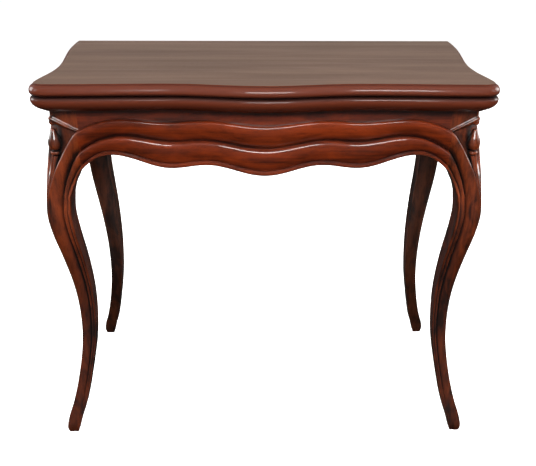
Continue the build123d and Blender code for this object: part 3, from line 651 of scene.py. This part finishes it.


# Painted shade: the back legs get a darker, less red copy of the legs' mahogany, as if the top shaded them
leg_look = {"hollow": (14, 8, 7), "mottle": 0.6}
leg_wood = wood("leg_mahogany", "z", (116, 49, 21), (44, 18, 9), low_shade=0.5, **leg_look)
shaded_back_leg_wood = wood("shaded_back_leg_mahogany", "z", (88, 45, 26), (34, 18, 12), low_shade=0.35, **leg_look)
front_right = solid("front_right_leg_carved", leg_rings())
parts = [
    solid("haunch", square_rings(haunch_rows())),
    solid("post", square_rings(post_rows())),
    solid("front_arch", arch_rings()),
    solid("side_arch", swap_faces(arch_rings())),
    solid("cap", cap_rings()),
    solid("knob", knob_rings()),
    solid("bud", bud_rings()),
    solid("stalk_a", stalk_rings(-1)),
    solid("stalk_b", stalk_rings(1)),
]
join(front_right, parts)
front_right.data.transform(Matrix.Diagonal((1, -1, 1, 1)))
front_right.data.flip_normals()
finish_mesh(front_right)
legs = {
    "front_right_leg": front_right,
    "front_left_leg": mirrored(front_right, "front_left_leg_carved", (-1, 1, 1)),
    "back_right_leg": mirrored(front_right, "back_right_leg_carved", (1, -1, 1)),
    "back_left_leg": mirrored(front_right, "back_left_leg_carved", (-1, -1, 1)),
}
for node_name, leg in legs.items():
    put_on(leg, shaded_back_leg_wood if node_name.startswith("back") else leg_wood, "frame")
    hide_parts(node_name)

# The four rails under the top, of mahogany. Each is shaped from a thick board: a flat face above two bold
# rolls and a bead, which rise and fall in waves along its foot. Tenons hold it in the posts.
front_bow, side_bow = 0.012, 0.005
front_bow_reach, side_bow_reach = 0.165, 0.080
front_crown_shares = [(0, 0.252), (0.30, 0.195), (0.517, 0.22), (0.766, 0.179)]
front_valley_shares = [(0, 0.585), (0.33, 0.48), (0.495, 0.508), (0.766, 0.423)]
front_foot_shares = [(0, 1), (0.306, 0.854), (0.505, 0.911), (0.835, 0.70)]
side_crown_shares = [(0, 0.224), (0.316, 0.179)]
side_valley_shares = [(0, 0.52), (0.316, 0.423)]
side_foot_shares = [(0, 0.86), (0.52, 0.70)]


def wave(table, end, share):
    """Height on a wavy line that swings between its table's places, then falls away to the joint."""
    last_place, last_drop = table[-1]
    if share >= last_place:
        return frame_top - apron_depth * mix(last_drop, end, ((share - last_place) / (1 - last_place)) ** 2)
    for (place, here), (next_place, there) in zip(table, table[1:]):
        if place <= share < next_place:
            return frame_top - apron_depth * mix(there, here, bell((share - place) / (next_place - place)))


def rail_rings(joint, face, tables, bow, bow_reach, count):
    """Rings of a rail from joint to joint, placed as the front one lies."""
    rings = []
    ends = (joint_crown_share, joint_valley_share, joint_foot_share)
    for place in np.linspace(-joint, joint, count):
        share = abs(place) / joint
        crown, valley, foot = (wave(table, end, share) for table, end in zip(tables, ends))
        swell = bow * bell(place / bow_reach)
        ring = moulded_face(foot, valley, crown, rail_outs + swell)
        ring += [(swell, crown), (swell, frame_top), (-rail_thickness, frame_top), (-rail_thickness, foot)]
        rings.append([(place, -(face + out), up) for out, up in ring])
    return rings


rail_wood = wood("rail_mahogany", "x", (124, 46, 17), (62, 21, 8), mottle=0.3)
side_rail_wood = wood("side_rail_mahogany", "y", (124, 46, 17), (62, 21, 8), mottle=0.3)
front_tables = (front_crown_shares, front_valley_shares, front_foot_shares)
side_tables = (side_crown_shares, side_valley_shares, side_foot_shares)
front_rings = rail_rings(joint_x, face_y, front_tables, front_bow, front_bow_reach, 220)
front_rail = solid("front_rail_moulded", front_rings)
right_rings = rail_rings(joint_y, face_x, side_tables, side_bow, side_bow_reach, 90)
right_rail = solid("right_rail_moulded", [[(-y, x, z) for x, y, z in ring] for ring in right_rings])
finish_mesh(front_rail)
finish_mesh(right_rail)
rails = {
    "front_rail": (front_rail, rail_wood),
    "back_rail": (mirrored(front_rail, "back_rail_moulded", (1, -1, 1)), rail_wood),
    "right_rail": (right_rail, side_rail_wood),
    "left_rail": (mirrored(right_rail, "left_rail_moulded", (-1, 1, 1)), side_rail_wood),
}
for node_name, (rail, finish) in rails.items():
    put_on(rail, finish, "frame")
    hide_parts(node_name)

# The two leaves, each a wide mahogany board with a serpentine edge. The upper one has a thin square step over
# a round nose, the lower a nose over a broad slope. Their inner faces are sunk for the baize and the hinges.
fold_half_width, waist_half_width, corner_half_width = 0.428, 0.390, 0.397
fold_line_y, corner_depth, hollow_depth, bow_depth = 0.236, 0.227, 0.006, 0.018
corner_radius = 0.030
hollow_x, side_hollow_y = 0.165, -0.100
fold_height = 0.729
leaf_bottom = 0.701
upper_moulding_depth, upper_step_inset, lower_moulding_depth = 0.0076, 0.009, 0.024
step_height = 0.0014
# Share of the leaf's thickness below its top, and of the moulding's depth in from the nose
upper_nose_shares = [(1, 1), (0.95, 0.6), (0.87, 0.25), (0.75, 0.04)]
upper_nose_shares += [(0.6, 0), (0.42, 0.1), (0.24, 0.42), (0.09, 1)]
lower_nose_shares = [(0, 0.3), (0.07, 0.11), (0.17, 0.01), (0.3, 0.005), (0.41, 0.035), (0.53, 0.11)]
lower_nose_shares += [(0.65, 0.25), (0.76, 0.44), (0.86, 0.68), (0.94, 0.88), (1, 1)]


def side_edge_x(y):
    """How far out the leaf's wavy side edge lies."""
    if y > side_hollow_y:
        share = (fold_line_y - y) / (fold_line_y - side_hollow_y)
        return mix(waist_half_width, fold_half_width, bell(share))
    run = side_hollow_y + corner_depth - corner_radius
    return mix(corner_half_width, waist_half_width, bell((side_hollow_y - y) / run))


def front_edge_y(x):
    """Where the leaf's front edge lies, bowed in the middle and hollow to each side."""
    hollow = corner_depth - hollow_depth
    if abs(x) < hollow_x:
        return -(hollow + bow_depth * bell(x / hollow_x))
    run = corner_half_width - corner_radius - hollow_x
    return -mix(corner_depth, hollow, bell((abs(x) - hollow_x) / run))


def outline(inset, back_inset=0.0, radius=None):
    """A leaf's outline, set in from its nose, as points round from the back right corner."""
    radius = corner_radius - inset if radius is None else radius
    corner_x = corner_half_width - inset
    corner_y = -(corner_depth - inset)
    back = fold_line_y - back_inset
    right = [(side_edge_x(y) - inset, y) for y in np.linspace(back, corner_y + radius, 60)]
    turns = [math.pi / 2 * k / 12 for k in range(1, 12)]
    bend = [(corner_x - radius * (1 - math.cos(t)), corner_y + radius * (1 - math.sin(t))) for t in turns]
    front = [(x, front_edge_y(x) + inset) for x in np.linspace(corner_x - radius, 0, 60)]
    half = right + bend + front
    return half + [(-x, y) for x, y in half[-2::-1]]


def leaf_rings(top, thickness, depth, shares):
    """Level rings of a leaf's moulded edge."""
    rings = []
    for drop, inset in shares:
        rings.append([(x, y, top - drop * thickness) for x, y in outline(inset * depth)])
    return rings


def block(low, high):
    """A plain box, to cut a sinking with."""
    ring = [(low[0], low[1]), (high[0], low[1]), (high[0], high[1]), (low[0], high[1])]
    return solid("block", [[(x, y, z) for x, y in ring] for z in (low[2], high[2])])


# Painted shade along the seam where the leaves meet, with dark old polish in the joint, and painted shade
# under the upper leaf's step
seam_dirt_and_shade, step_shade = 0.0062, 0.0012
seam_strength, step_strength = 1.15, 0.7
step_foot = table_height - 0.0019
flat_top = table_height - 0.001
fade_slope, level_share = 12, 0.995


def mark_edge(mesh):
    """Marks all but the flat top with the edge's redder colour, and the seam and the step with painted shade,
    with old polish in the seam.
    """
    mesh.attributes.remove(mesh.attributes["worn"])
    worn = mesh.attributes.new("worn", "FLOAT", "FACE")
    shares, dirt_and_shade = [], []
    for face in mesh.polygons:
        on_top = face.center.z > flat_top
        shares.append(min(1.0, fade_slope * (1 - face.normal.z)) if on_top else 1.0)
        seam = seam_strength - abs(face.center.z - fold_height) / seam_dirt_and_shade
        step = step_strength - abs(face.center.z - step_foot) / step_shade
        dirt_and_shade.append(0.0 if abs(face.normal.z) > level_share else min(1.0, max(0.0, seam, step)))
    worn.data.foreach_set("value", shares)
    mesh.attributes.remove(mesh.attributes["hollow"])
    mesh.attributes.new("hollow", "FLOAT", "FACE").data.foreach_set("value", dirt_and_shade)


top_look = {"worn": (88, 38, 22), "mottle": 0.08, "gloss": 0.42, "polish": 0.3}
top_wood = wood("top_mahogany", "x", (112, 86, 70), (90, 68, 54), **top_look)
upper_thickness, lower_thickness = table_height - fold_height, fold_height - leaf_bottom
upper_nose, lower_nose = smooth_rows(upper_nose_shares, 30), smooth_rows(lower_nose_shares, 36)
upper_rings = leaf_rings(table_height, upper_thickness, upper_moulding_depth, upper_nose)
for level in (table_height - step_height, table_height):
    upper_rings.append([(x, y, level) for x, y in outline(upper_step_inset)])
upper_leaf = solid("upper_leaf_moulded", upper_rings)
lower_rings = leaf_rings(fold_height, lower_thickness, lower_moulding_depth, lower_nose)
lower_leaf = solid("lower_leaf_moulded", lower_rings)
baize_margin, baize_fold_margin, baize_corner, recess_depth = 0.048, 0.003, 0.014, 0.001
fit = 0.0002
past_face, past_edge = 0.005, 0.01      # how far the cuts run out of the wood
for leaf, sign in ((upper_leaf, 1), (lower_leaf, -1)):
    edge = outline(baize_margin - fit, baize_fold_margin - fit, baize_corner)
    levels = (fold_height - sign * past_face, fold_height + sign * recess_depth)
    cuts = [solid("sinking", [[(x, y, z) for x, y in edge] for z in levels])]
    for side in ("left", "right"):
        hinge_name = ("upper_" if sign > 0 else "lower_") + side + "_hinge"
        low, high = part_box(hinge_name)
        reach = Vector((past_edge, 0.0, 0.0))
        outer_low = low - reach if side == "left" else low - Vector((fit, 0, 0))
        outer_high = high + reach if side == "right" else high + Vector((fit, 0, 0))
        outer_low = outer_low - Vector((0, fit, fit))
        outer_high = outer_high + Vector((0, past_edge, fit))
        if sign > 0:
            outer_low.z = fold_height - past_face
        else:
            outer_high.z = fold_height + past_face
        cuts.append(block(outer_low, outer_high))
    join(leaf, cuts, "DIFFERENCE")
leaves = ((upper_leaf, "upper_leaf", "upper_top"), (lower_leaf, "lower_leaf", "lower_top"))
for leaf, node_name, body in leaves:
    finish_mesh(leaf)
    mark_edge(leaf.data)
    put_on(leaf, top_wood, body)
    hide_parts(node_name)

# Green wool baize, the cloth that cards are played on. One piece is glued into the sunk inner face of each
# leaf, cut to the leaf's outline and set in from its edge.
baize_green, cloth_tree, cloth_surface = new_material("green_baize")
cloth_place = add_node(cloth_tree, "ShaderNodeTexCoord").outputs["Object"]
fibres = stretched_noise(cloth_tree, cloth_place, (900, 900, 900), 3, 0.7)
patches = stretched_noise(cloth_tree, cloth_place, (9, 9, 9), 3, 0.5)
cloth_green, faded_green, fibre_shade = linear(28, 68, 42), linear(36, 78, 47), linear(16, 44, 27)
cloth_colour = mixed(cloth_tree, mapped(cloth_tree, patches, 0.3, 0.7), cloth_green, faded_green)
fibre_mask = mapped(cloth_tree, fibres, 0.35, 0.65, 0, 0.5)
cloth_colour = mixed(cloth_tree, fibre_mask, cloth_colour, fibre_shade)
cloth_tree.links.new(cloth_colour, cloth_surface.inputs["Base Color"])
cloth_surface.inputs["Roughness"].default_value = 0.95
cloth_surface.inputs["Sheen Weight"].default_value = 0.12
cloth_bump = add_node(cloth_tree, "ShaderNodeBump", {"Height": fibres, "Strength": 0.5, "Distance": 0.0004})
cloth_tree.links.new(cloth_bump.outputs["Normal"], cloth_surface.inputs["Normal"])
for node_name, body in (("upper_baize", "upper_top"), ("lower_baize", "lower_top")):
    low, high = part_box(node_name)
    edge = outline(baize_margin, baize_fold_margin, baize_corner)
    baize = solid(node_name + "_cloth", [[(x, y, z) for x, y in edge] for z in (low.z, high.z)])
    baize.data.shade_flat()
    put_on(baize, baize_green, body)
    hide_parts(node_name)

# Inside the frame: the floor, divider and ledgers of the card well, the bearer under the pivot, the glue
# blocks behind the posts, and the stop peg. All are of a cheaper wood, planed and left bare.
bare_look = {"hollow": (60, 40, 25), "mottle": 0.1, "gloss": 0.6, "polish": 0.0}
bare_names = {"x": "inner_board", "y": "inner_cross_board", "z": "inner_block"}
bare_woods = {
    along: wood(name, along, (168, 128, 86), (132, 94, 58), **bare_look) for along, name in bare_names.items()
}
boards = {
    "x": ["well_floor", "front_ledger", "back_ledger"],
    "y": ["left_ledger", "well_divider", "pivot_bearer"],
    "z": ["front_left_block", "front_right_block", "back_left_block", "back_right_block", "stop_peg"],
}
for along, names in boards.items():
    for node_name in names:
        finish_with(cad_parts[node_name], bare_woods[along])

# Metalwork: brass hinges let into the leaves' sides, with their pins, and a brass bush in the bearer. The
# iron pivot bolt, with its plate, washer and nut, turns in the bush.
hinge_names = ["upper_left_hinge", "upper_right_hinge", "lower_left_hinge", "lower_right_hinge"]


def metal(name, pale, dark, roughness, coarse):
    """An old metal, tarnished in patches, with a fine grit."""
    smoother, rougher = 0.08, 0.12
    material, tree, surface = new_material(name)
    surface.inputs["Metallic"].default_value = 1.0
    place = add_node(tree, "ShaderNodeTexCoord").outputs["Object"]
    tarnish = stretched_noise(tree, place, (60, 60, 60), 4, 0.6)
    grit = stretched_noise(tree, place, (coarse, coarse, coarse), 2, 0.5)
    colour = mixed(tree, mapped(tree, tarnish, 0.35, 0.65), linear(*pale), linear(*dark))
    tree.links.new(colour, surface.inputs["Base Color"])
    rough = mapped(tree, tarnish, 0.3, 0.7, roughness - smoother, roughness + rougher)
    tree.links.new(rough, surface.inputs["Roughness"])
    bump = add_node(tree, "ShaderNodeBump", {"Height": grit, "Strength": 0.3, "Distance": 0.0002})
    tree.links.new(bump.outputs["Normal"], surface.inputs["Normal"])
    return material


old_brass = metal("old_brass", (190, 155, 92), (120, 92, 52), 0.36, 900)
dark_iron = metal("dark_iron", (92, 88, 84), (52, 46, 42), 0.5, 500)
for node_name in hinge_names + ["hinge_pins", "pivot_bush"]:
    finish_with(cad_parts[node_name], old_brass)
for node_name in ("pivot_plate", "pivot_bolt", "pivot_washer", "pivot_nut"):
    finish_with(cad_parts[node_name], dark_iron)

# Countersunk wood screws with slotted heads. Brass ones hold the hinges to the leaves, and four iron ones
# hold the pivot plate under the lower leaf.
screw_marks = ("driven", "slot_turn")       # which way a screw points, and how far its slot is turned
screw_sizes = {
    "Head Radius": 0.0032,
    "Head Height": 0.0016,
    "Shank Radius": 0.0016,
    "Length": 0.013,
    "Slot Width": 0.0008,
    "Slot Depth": 0.0007,
}


def screw_tree():
    """One screw at each point of the mesh that it is put on, driven the way that the point says."""
    shank_share, slot_share = 0.98, 2.2     # of the shank's radius, and of the head's
    tree = bpy.data.node_groups.new("wood_screws", "GeometryNodeTree")
    tree.interface.new_socket("Places", in_out="INPUT", socket_type="NodeSocketGeometry")
    for label, value in screw_sizes.items():
        tree.interface.new_socket(label, in_out="INPUT", socket_type="NodeSocketFloat").default_value = value
    tree.interface.new_socket("Finish", in_out="INPUT", socket_type="NodeSocketMaterial")
    tree.interface.new_socket("Screws", in_out="OUTPUT", socket_type="NodeSocketGeometry")
    given, result = tree.nodes.new("NodeGroupInput"), tree.nodes.new("NodeGroupOutput")
    sizes = given.outputs
    cone = {"Vertices": 32, "Radius Top": sizes["Shank Radius"], "Radius Bottom": sizes["Head Radius"]}
    head = add_node(tree, "GeometryNodeMeshCone", cone | {"Depth": sizes["Head Height"]})
    shank_start = arithmetic(tree, "MULTIPLY", sizes["Head Height"], 0.5)
    shank_length = arithmetic(tree, "SUBTRACT", sizes["Length"], shank_start)
    shank_radius = arithmetic(tree, "MULTIPLY", sizes["Shank Radius"], shank_share)
    rod = {"Vertices": 32, "Radius": shank_radius, "Depth": shank_length}
    shank = add_node(tree, "GeometryNodeMeshCylinder", rod)
    shank_middle = arithmetic(tree, "ADD", shank_start, arithmetic(tree, "MULTIPLY", shank_length, 0.5))
    shank_place = add_node(tree, "ShaderNodeCombineXYZ", {"Z": shank_middle}).outputs[0]
    moved = {"Geometry": shank.outputs["Mesh"], "Translation": shank_place}
    shank_there = add_node(tree, "GeometryNodeTransform", moved)
    slot_length = arithmetic(tree, "MULTIPLY", sizes["Head Radius"], slot_share)
    slot_height = arithmetic(tree, "MULTIPLY", sizes["Slot Depth"], 2.0)
    slot_size = {"X": slot_length, "Y": sizes["Slot Width"], "Z": slot_height}
    slot_box = add_node(tree, "ShaderNodeCombineXYZ", slot_size)
    slot = add_node(tree, "GeometryNodeMeshCube", {"Size": slot_box.outputs[0]})
    whole = add_node(tree, "GeometryNodeMeshBoolean", operation="UNION")
    tree.links.new(head.outputs["Mesh"], whole.inputs["Mesh 2"])
    tree.links.new(shank_there.outputs["Geometry"], whole.inputs["Mesh 2"])
    cut = {"Mesh 1": whole.outputs["Mesh"], "Mesh 2": slot.outputs["Mesh"]}
    slotted = add_node(tree, "GeometryNodeMeshBoolean", cut, operation="DIFFERENCE")
    driven, slot_turn = (
        add_node(tree, "GeometryNodeInputNamedAttribute", {"Name": mark}, data_type="FLOAT_VECTOR").outputs[0]
        for mark in screw_marks
    )
    turned = add_node(tree, "FunctionNodeAlignRotationToVector", {"Vector": driven}, axis="Z")
    both_turns = {"Rotation": turned.outputs["Rotation"], "Rotate By": slot_turn}
    spun = add_node(tree, "FunctionNodeRotateRotation", both_turns, rotation_space="LOCAL")
    copies = {"Points": sizes["Places"], "Instance": slotted.outputs["Mesh"]}
    copies["Rotation"] = spun.outputs["Rotation"]
    placed = add_node(tree, "GeometryNodeInstanceOnPoints", copies)
    real = add_node(tree, "GeometryNodeRealizeInstances", {"Geometry": placed.outputs["Instances"]})
    finished = {"Geometry": real.outputs["Geometry"], "Material": sizes["Finish"]}
    dressed = add_node(tree, "GeometryNodeSetMaterial", finished)
    tree.links.new(dressed.outputs["Geometry"], result.inputs["Screws"])
    return tree


def drive_screws(name, places, finish, body, node_name):
    """Screws at the places given, each with the way it points and how far its slot is turned."""
    crease_angle = 30
    mesh = bpy.data.meshes.new(name)
    mesh.from_pydata([place for place, way, spin in places], [], [])
    ways = mesh.attributes.new("driven", "FLOAT_VECTOR", "POINT")
    ways.data.foreach_set("vector", [value for place, way, spin in places for value in way])
    spins = mesh.attributes.new("slot_turn", "FLOAT_VECTOR", "POINT")
    spins.data.foreach_set("vector", [value for place, way, spin in places for value in (0.0, 0.0, spin)])
    screws = new_object(name, mesh)
    maker = screws.modifiers.new("screws", "NODES")
    maker.node_group = wood_screws
    for item in wood_screws.interface.items_tree:
        if item.in_out == "INPUT" and item.name == "Finish":
            maker[item.identifier] = finish
        elif item.in_out == "INPUT" and item.name in screw_sizes:
            maker[item.identifier] = screw_sizes[item.name]
    keep_mesh(screws)
    for mark in screw_marks:
        if mark in screws.data.attributes:
            screws.data.attributes.remove(screws.data.attributes[mark])
    screws.data.shade_smooth()
    screws.data.set_sharp_from_angle(angle=math.radians(crease_angle))
    put_on(screws, finish, body)
    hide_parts(node_name)


wood_screws = screw_tree()
hinge_face = 0.4248
hinge_screw_ys = (0.22192, 0.20344)
hinge_rise = 0.00875
hinge_screws = (("upper_hinge_screws", 1, "upper_top"), ("lower_hinge_screws", -1, "lower_top"))
for name, sign, body in hinge_screws:
    spots = []
    for side in (-1, 1):
        for k, y in enumerate(hinge_screw_ys):
            # each slot stops at an angle of its own
            spin = 0.5 + 0.9 * k + 0.3 * side * sign
            spots.append(((side * hinge_face, y, fold_height + sign * hinge_rise), (-side, 0.0, 0.0), spin))
    drive_screws(name + "_slotted", spots, old_brass, body, name)
pivot_place, pivot_screw_reach = 0.118, 0.020
spots = []
for k in range(4):
    angle = k * math.pi / 2
    x = pivot_place + pivot_screw_reach * math.cos(angle)
    y = pivot_place + pivot_screw_reach * math.sin(angle)
    spots.append(((x, y, leaf_bottom), (0.0, 0.0, 1.0), 0.4 + 1.1 * k))
drive_screws("pivot_screws_slotted", spots, dark_iron, "lower_top", "pivot_screws")

# Slips of the same cloth, glued along the top of the rails, on which the top slides when it turns. They are
# cut from the roll in narrow strips, two long and two short.
slip_width, slip_thickness, slip_end_margin, slip_rows = 0.012, 0.0008, 0.024, 24
# A slip's section, with soft upper edges, as shares of its half width and of its thickness
slip_section = [(-1, 0), (-1, 0.7), (-0.9, 1), (0.9, 1), (1, 0.7), (1, 0)]
slip_x, slip_y = face_x - rail_thickness / 2, face_y - rail_thickness / 2
long_half, short_half = joint_x - slip_end_margin, joint_y - slip_end_margin
slips = {
    "front_slip": ((0, -slip_y), (long_half, slip_width / 2), "front_rail_moulded"),
    "back_slip": ((0, slip_y), (long_half, slip_width / 2), "back_rail_moulded"),
    "left_slip": ((-slip_x, 0), (slip_width / 2, short_half), "left_rail_moulded"),
    "right_slip": ((slip_x, 0), (slip_width / 2, short_half), "right_rail_moulded"),
}
for name, ((x, y), (half_x, half_y), rail_name) in slips.items():
    rings = []
    for place in np.linspace(-1, 1, slip_rows):
        ring = []
        for across, up in slip_section:
            along_x, along_y = (place, across) if half_x > half_y else (-across, place)
            ring.append((x + along_x * half_x, y + along_y * half_y, frame_top + up * slip_thickness))
        rings.append(ring)
    slip = solid(name, rings)
    slip.data.shade_flat()
    put_on(slip, baize_green, "frame")
    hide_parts("glide_slips")

# The room: a plain pale floor in a white surround, with wide soft lights in front, above, behind and at both
# sides. The surround is brighter at some heights than at others, which gives the polish its long reflections.
floor_mesh = bpy.data.meshes.new("floor")
floor_mesh.from_pydata([(-9, -5, 0), (9, -5, 0), (9, 12, 0), (-9, 12, 0)], [], [(0, 1, 2, 3)])
floor = new_object("floor", floor_mesh)
floor_material, _, floor_surface = new_material("pale_floor")
floor_surface.inputs["Base Color"].default_value = (0.88, 0.88, 0.88, 1)
floor_surface.inputs["Roughness"].default_value = 0.9
floor_surface.inputs["Emission Color"].default_value = (1, 1, 1, 1)
floor_surface.inputs["Emission Strength"].default_value = 0.8
floor_mesh.materials.append(floor_material)
floor.visible_glossy = False
floor.visible_diffuse = False
floor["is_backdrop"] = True

world = bpy.data.worlds.new("surround")
world.use_nodes = True
air = world.node_tree
background = air.nodes["Background"]
background.inputs["Color"].default_value = (1, 1, 1, 1)
seen = add_node(air, "ShaderNodeLightPath").outputs["Is Camera Ray"]
direction = add_node(air, "ShaderNodeTexCoord").outputs["Generated"]
around = add_node(air, "ShaderNodeSeparateXYZ", {"Vector": direction})
upward = around.outputs["Z"]
# Places from straight down, 0, to straight up, 1, and how bright the surround is there
glow_stops = ((0.15, 0.02), (0.26, 0.4), (0.4, 0.5), (0.52, 0.16), (0.68, 0.26), (0.8, 0.2), (0.95, 0.5))
glow_ramp = add_node(air, "ShaderNodeValToRGB", {"Fac": mapped(air, upward, -1, 1)})
for stop, brightness in glow_stops:
    element = glow_ramp.color_ramp.elements.new(stop)
    element.color = (brightness, brightness, brightness, 1)
glow_ramp.color_ramp.elements.remove(glow_ramp.color_ramp.elements[0])
glow_ramp.color_ramp.elements.remove(glow_ramp.color_ramp.elements[-1])
# Light from below is held back for dull surfaces and from behind, or the legs' flanks turn grey
dull_hold, behind_hold = 0.65, 0.9
bounced = add_node(air, "ShaderNodeLightPath").outputs["Is Diffuse Ray"]
low_share = mapped(air, upward, 0.0, -0.1)
behind = mapped(air, around.outputs["Y"], -0.3, 0.3, 0.0, behind_hold)
held_back = arithmetic(air, "MAXIMUM", arithmetic(air, "MULTIPLY", bounced, dull_hold), behind)
held_back = arithmetic(air, "MULTIPLY", held_back, low_share)
let_through = arithmetic(air, "SUBTRACT", 1.0, held_back)
glow = arithmetic(air, "MULTIPLY", glow_ramp.outputs["Color"], let_through)
# Brighter behind the table than in front, and dim to both sides
front_glow, back_glow, side_glow = 0.5, 1.15, 0.12
backward = mapped(air, around.outputs["Y"], -0.4, 0.5, front_glow, back_glow)
glow = arithmetic(air, "MULTIPLY", glow, backward)
sideways = arithmetic(air, "ABSOLUTE", around.outputs["X"])
glow = arithmetic(air, "MULTIPLY", glow, mapped(air, sideways, 0.5, 0.9, 1.0, side_glow))
strength = add_node(air, "ShaderNodeMix", {"Factor": seen, "A": glow, "B": 1.0}).outputs["Result"]
air.links.new(strength, background.inputs["Strength"])
bpy.context.scene.world = world
bpy.context.scene.view_settings.view_transform = "Standard"


def soft_light(name, place, target, size, power):
    """A wide light that the camera doesn't see, turned to its target. The power is in watts."""
    data = bpy.data.lights.new(name, "AREA")
    data.shape = "RECTANGLE"
    data.size, data.size_y = size
    data.energy = power
    light = new_object(name, data)
    light.location = place
    light.visible_camera = False
    light.rotation_euler = (Vector(target) - Vector(place)).to_track_quat("-Z", "Y").to_euler()


soft_light("front_umbrella", (0.1, -2.1, 1.6), (0, 0, 0.6), (1.1, 0.5), 66)
soft_light("ceiling", (0, -0.9, 3.0), (0, 0, 0.6), (4.0, 0.8), 18)
soft_light("back_fill", (0, 2.8, 1.5), (0, 0, 0.5), (2.4, 1.2), 85)
bpy.data.objects["back_fill"].visible_glossy = False
soft_light("left_fill", (-2.7, 0.6, 1.4), (0, 0, 0.6), (1.4, 1.3), 60)
soft_light("right_fill", (2.7, 0.6, 1.4), (0, 0, 0.6), (1.4, 1.3), 60)
soft_light("left_window", (-2.6, -1.2, 1.7), (0, 0, 0.6), (0.7, 1.4), 16)
soft_light("right_window", (2.6, -1.2, 1.7), (0, 0, 0.6), (0.7, 1.4), 16)

# The camera, a little over a metre in front of the table and a quarter of a metre above its top, looks down.
# Its place, angles and focal length were fitted to the corners of the top and the edges of the legs.
focal_pixels, picture_width, sensor_width = 659.16, 536, 36
look_down, look_aside, lean = 25.03, -0.67, 0.20
camera_place = (-0.0072, -1.3088, 0.9885)
camera_data = bpy.data.cameras.new("camera")
camera_data.sensor_width = sensor_width
camera_data.lens = focal_pixels / picture_width * sensor_width
camera = new_object("camera", camera_data)
camera_turn = (
    Matrix.Rotation(math.radians(look_aside), 4, "Z")
    @ Matrix.Rotation(math.radians(90 - look_down), 4, "X")
    @ Matrix.Rotation(math.radians(lean), 4, "Z")
)
camera.matrix_world = Matrix.Translation(camera_place) @ camera_turn
bpy.context.scene.camera = camera

low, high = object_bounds()
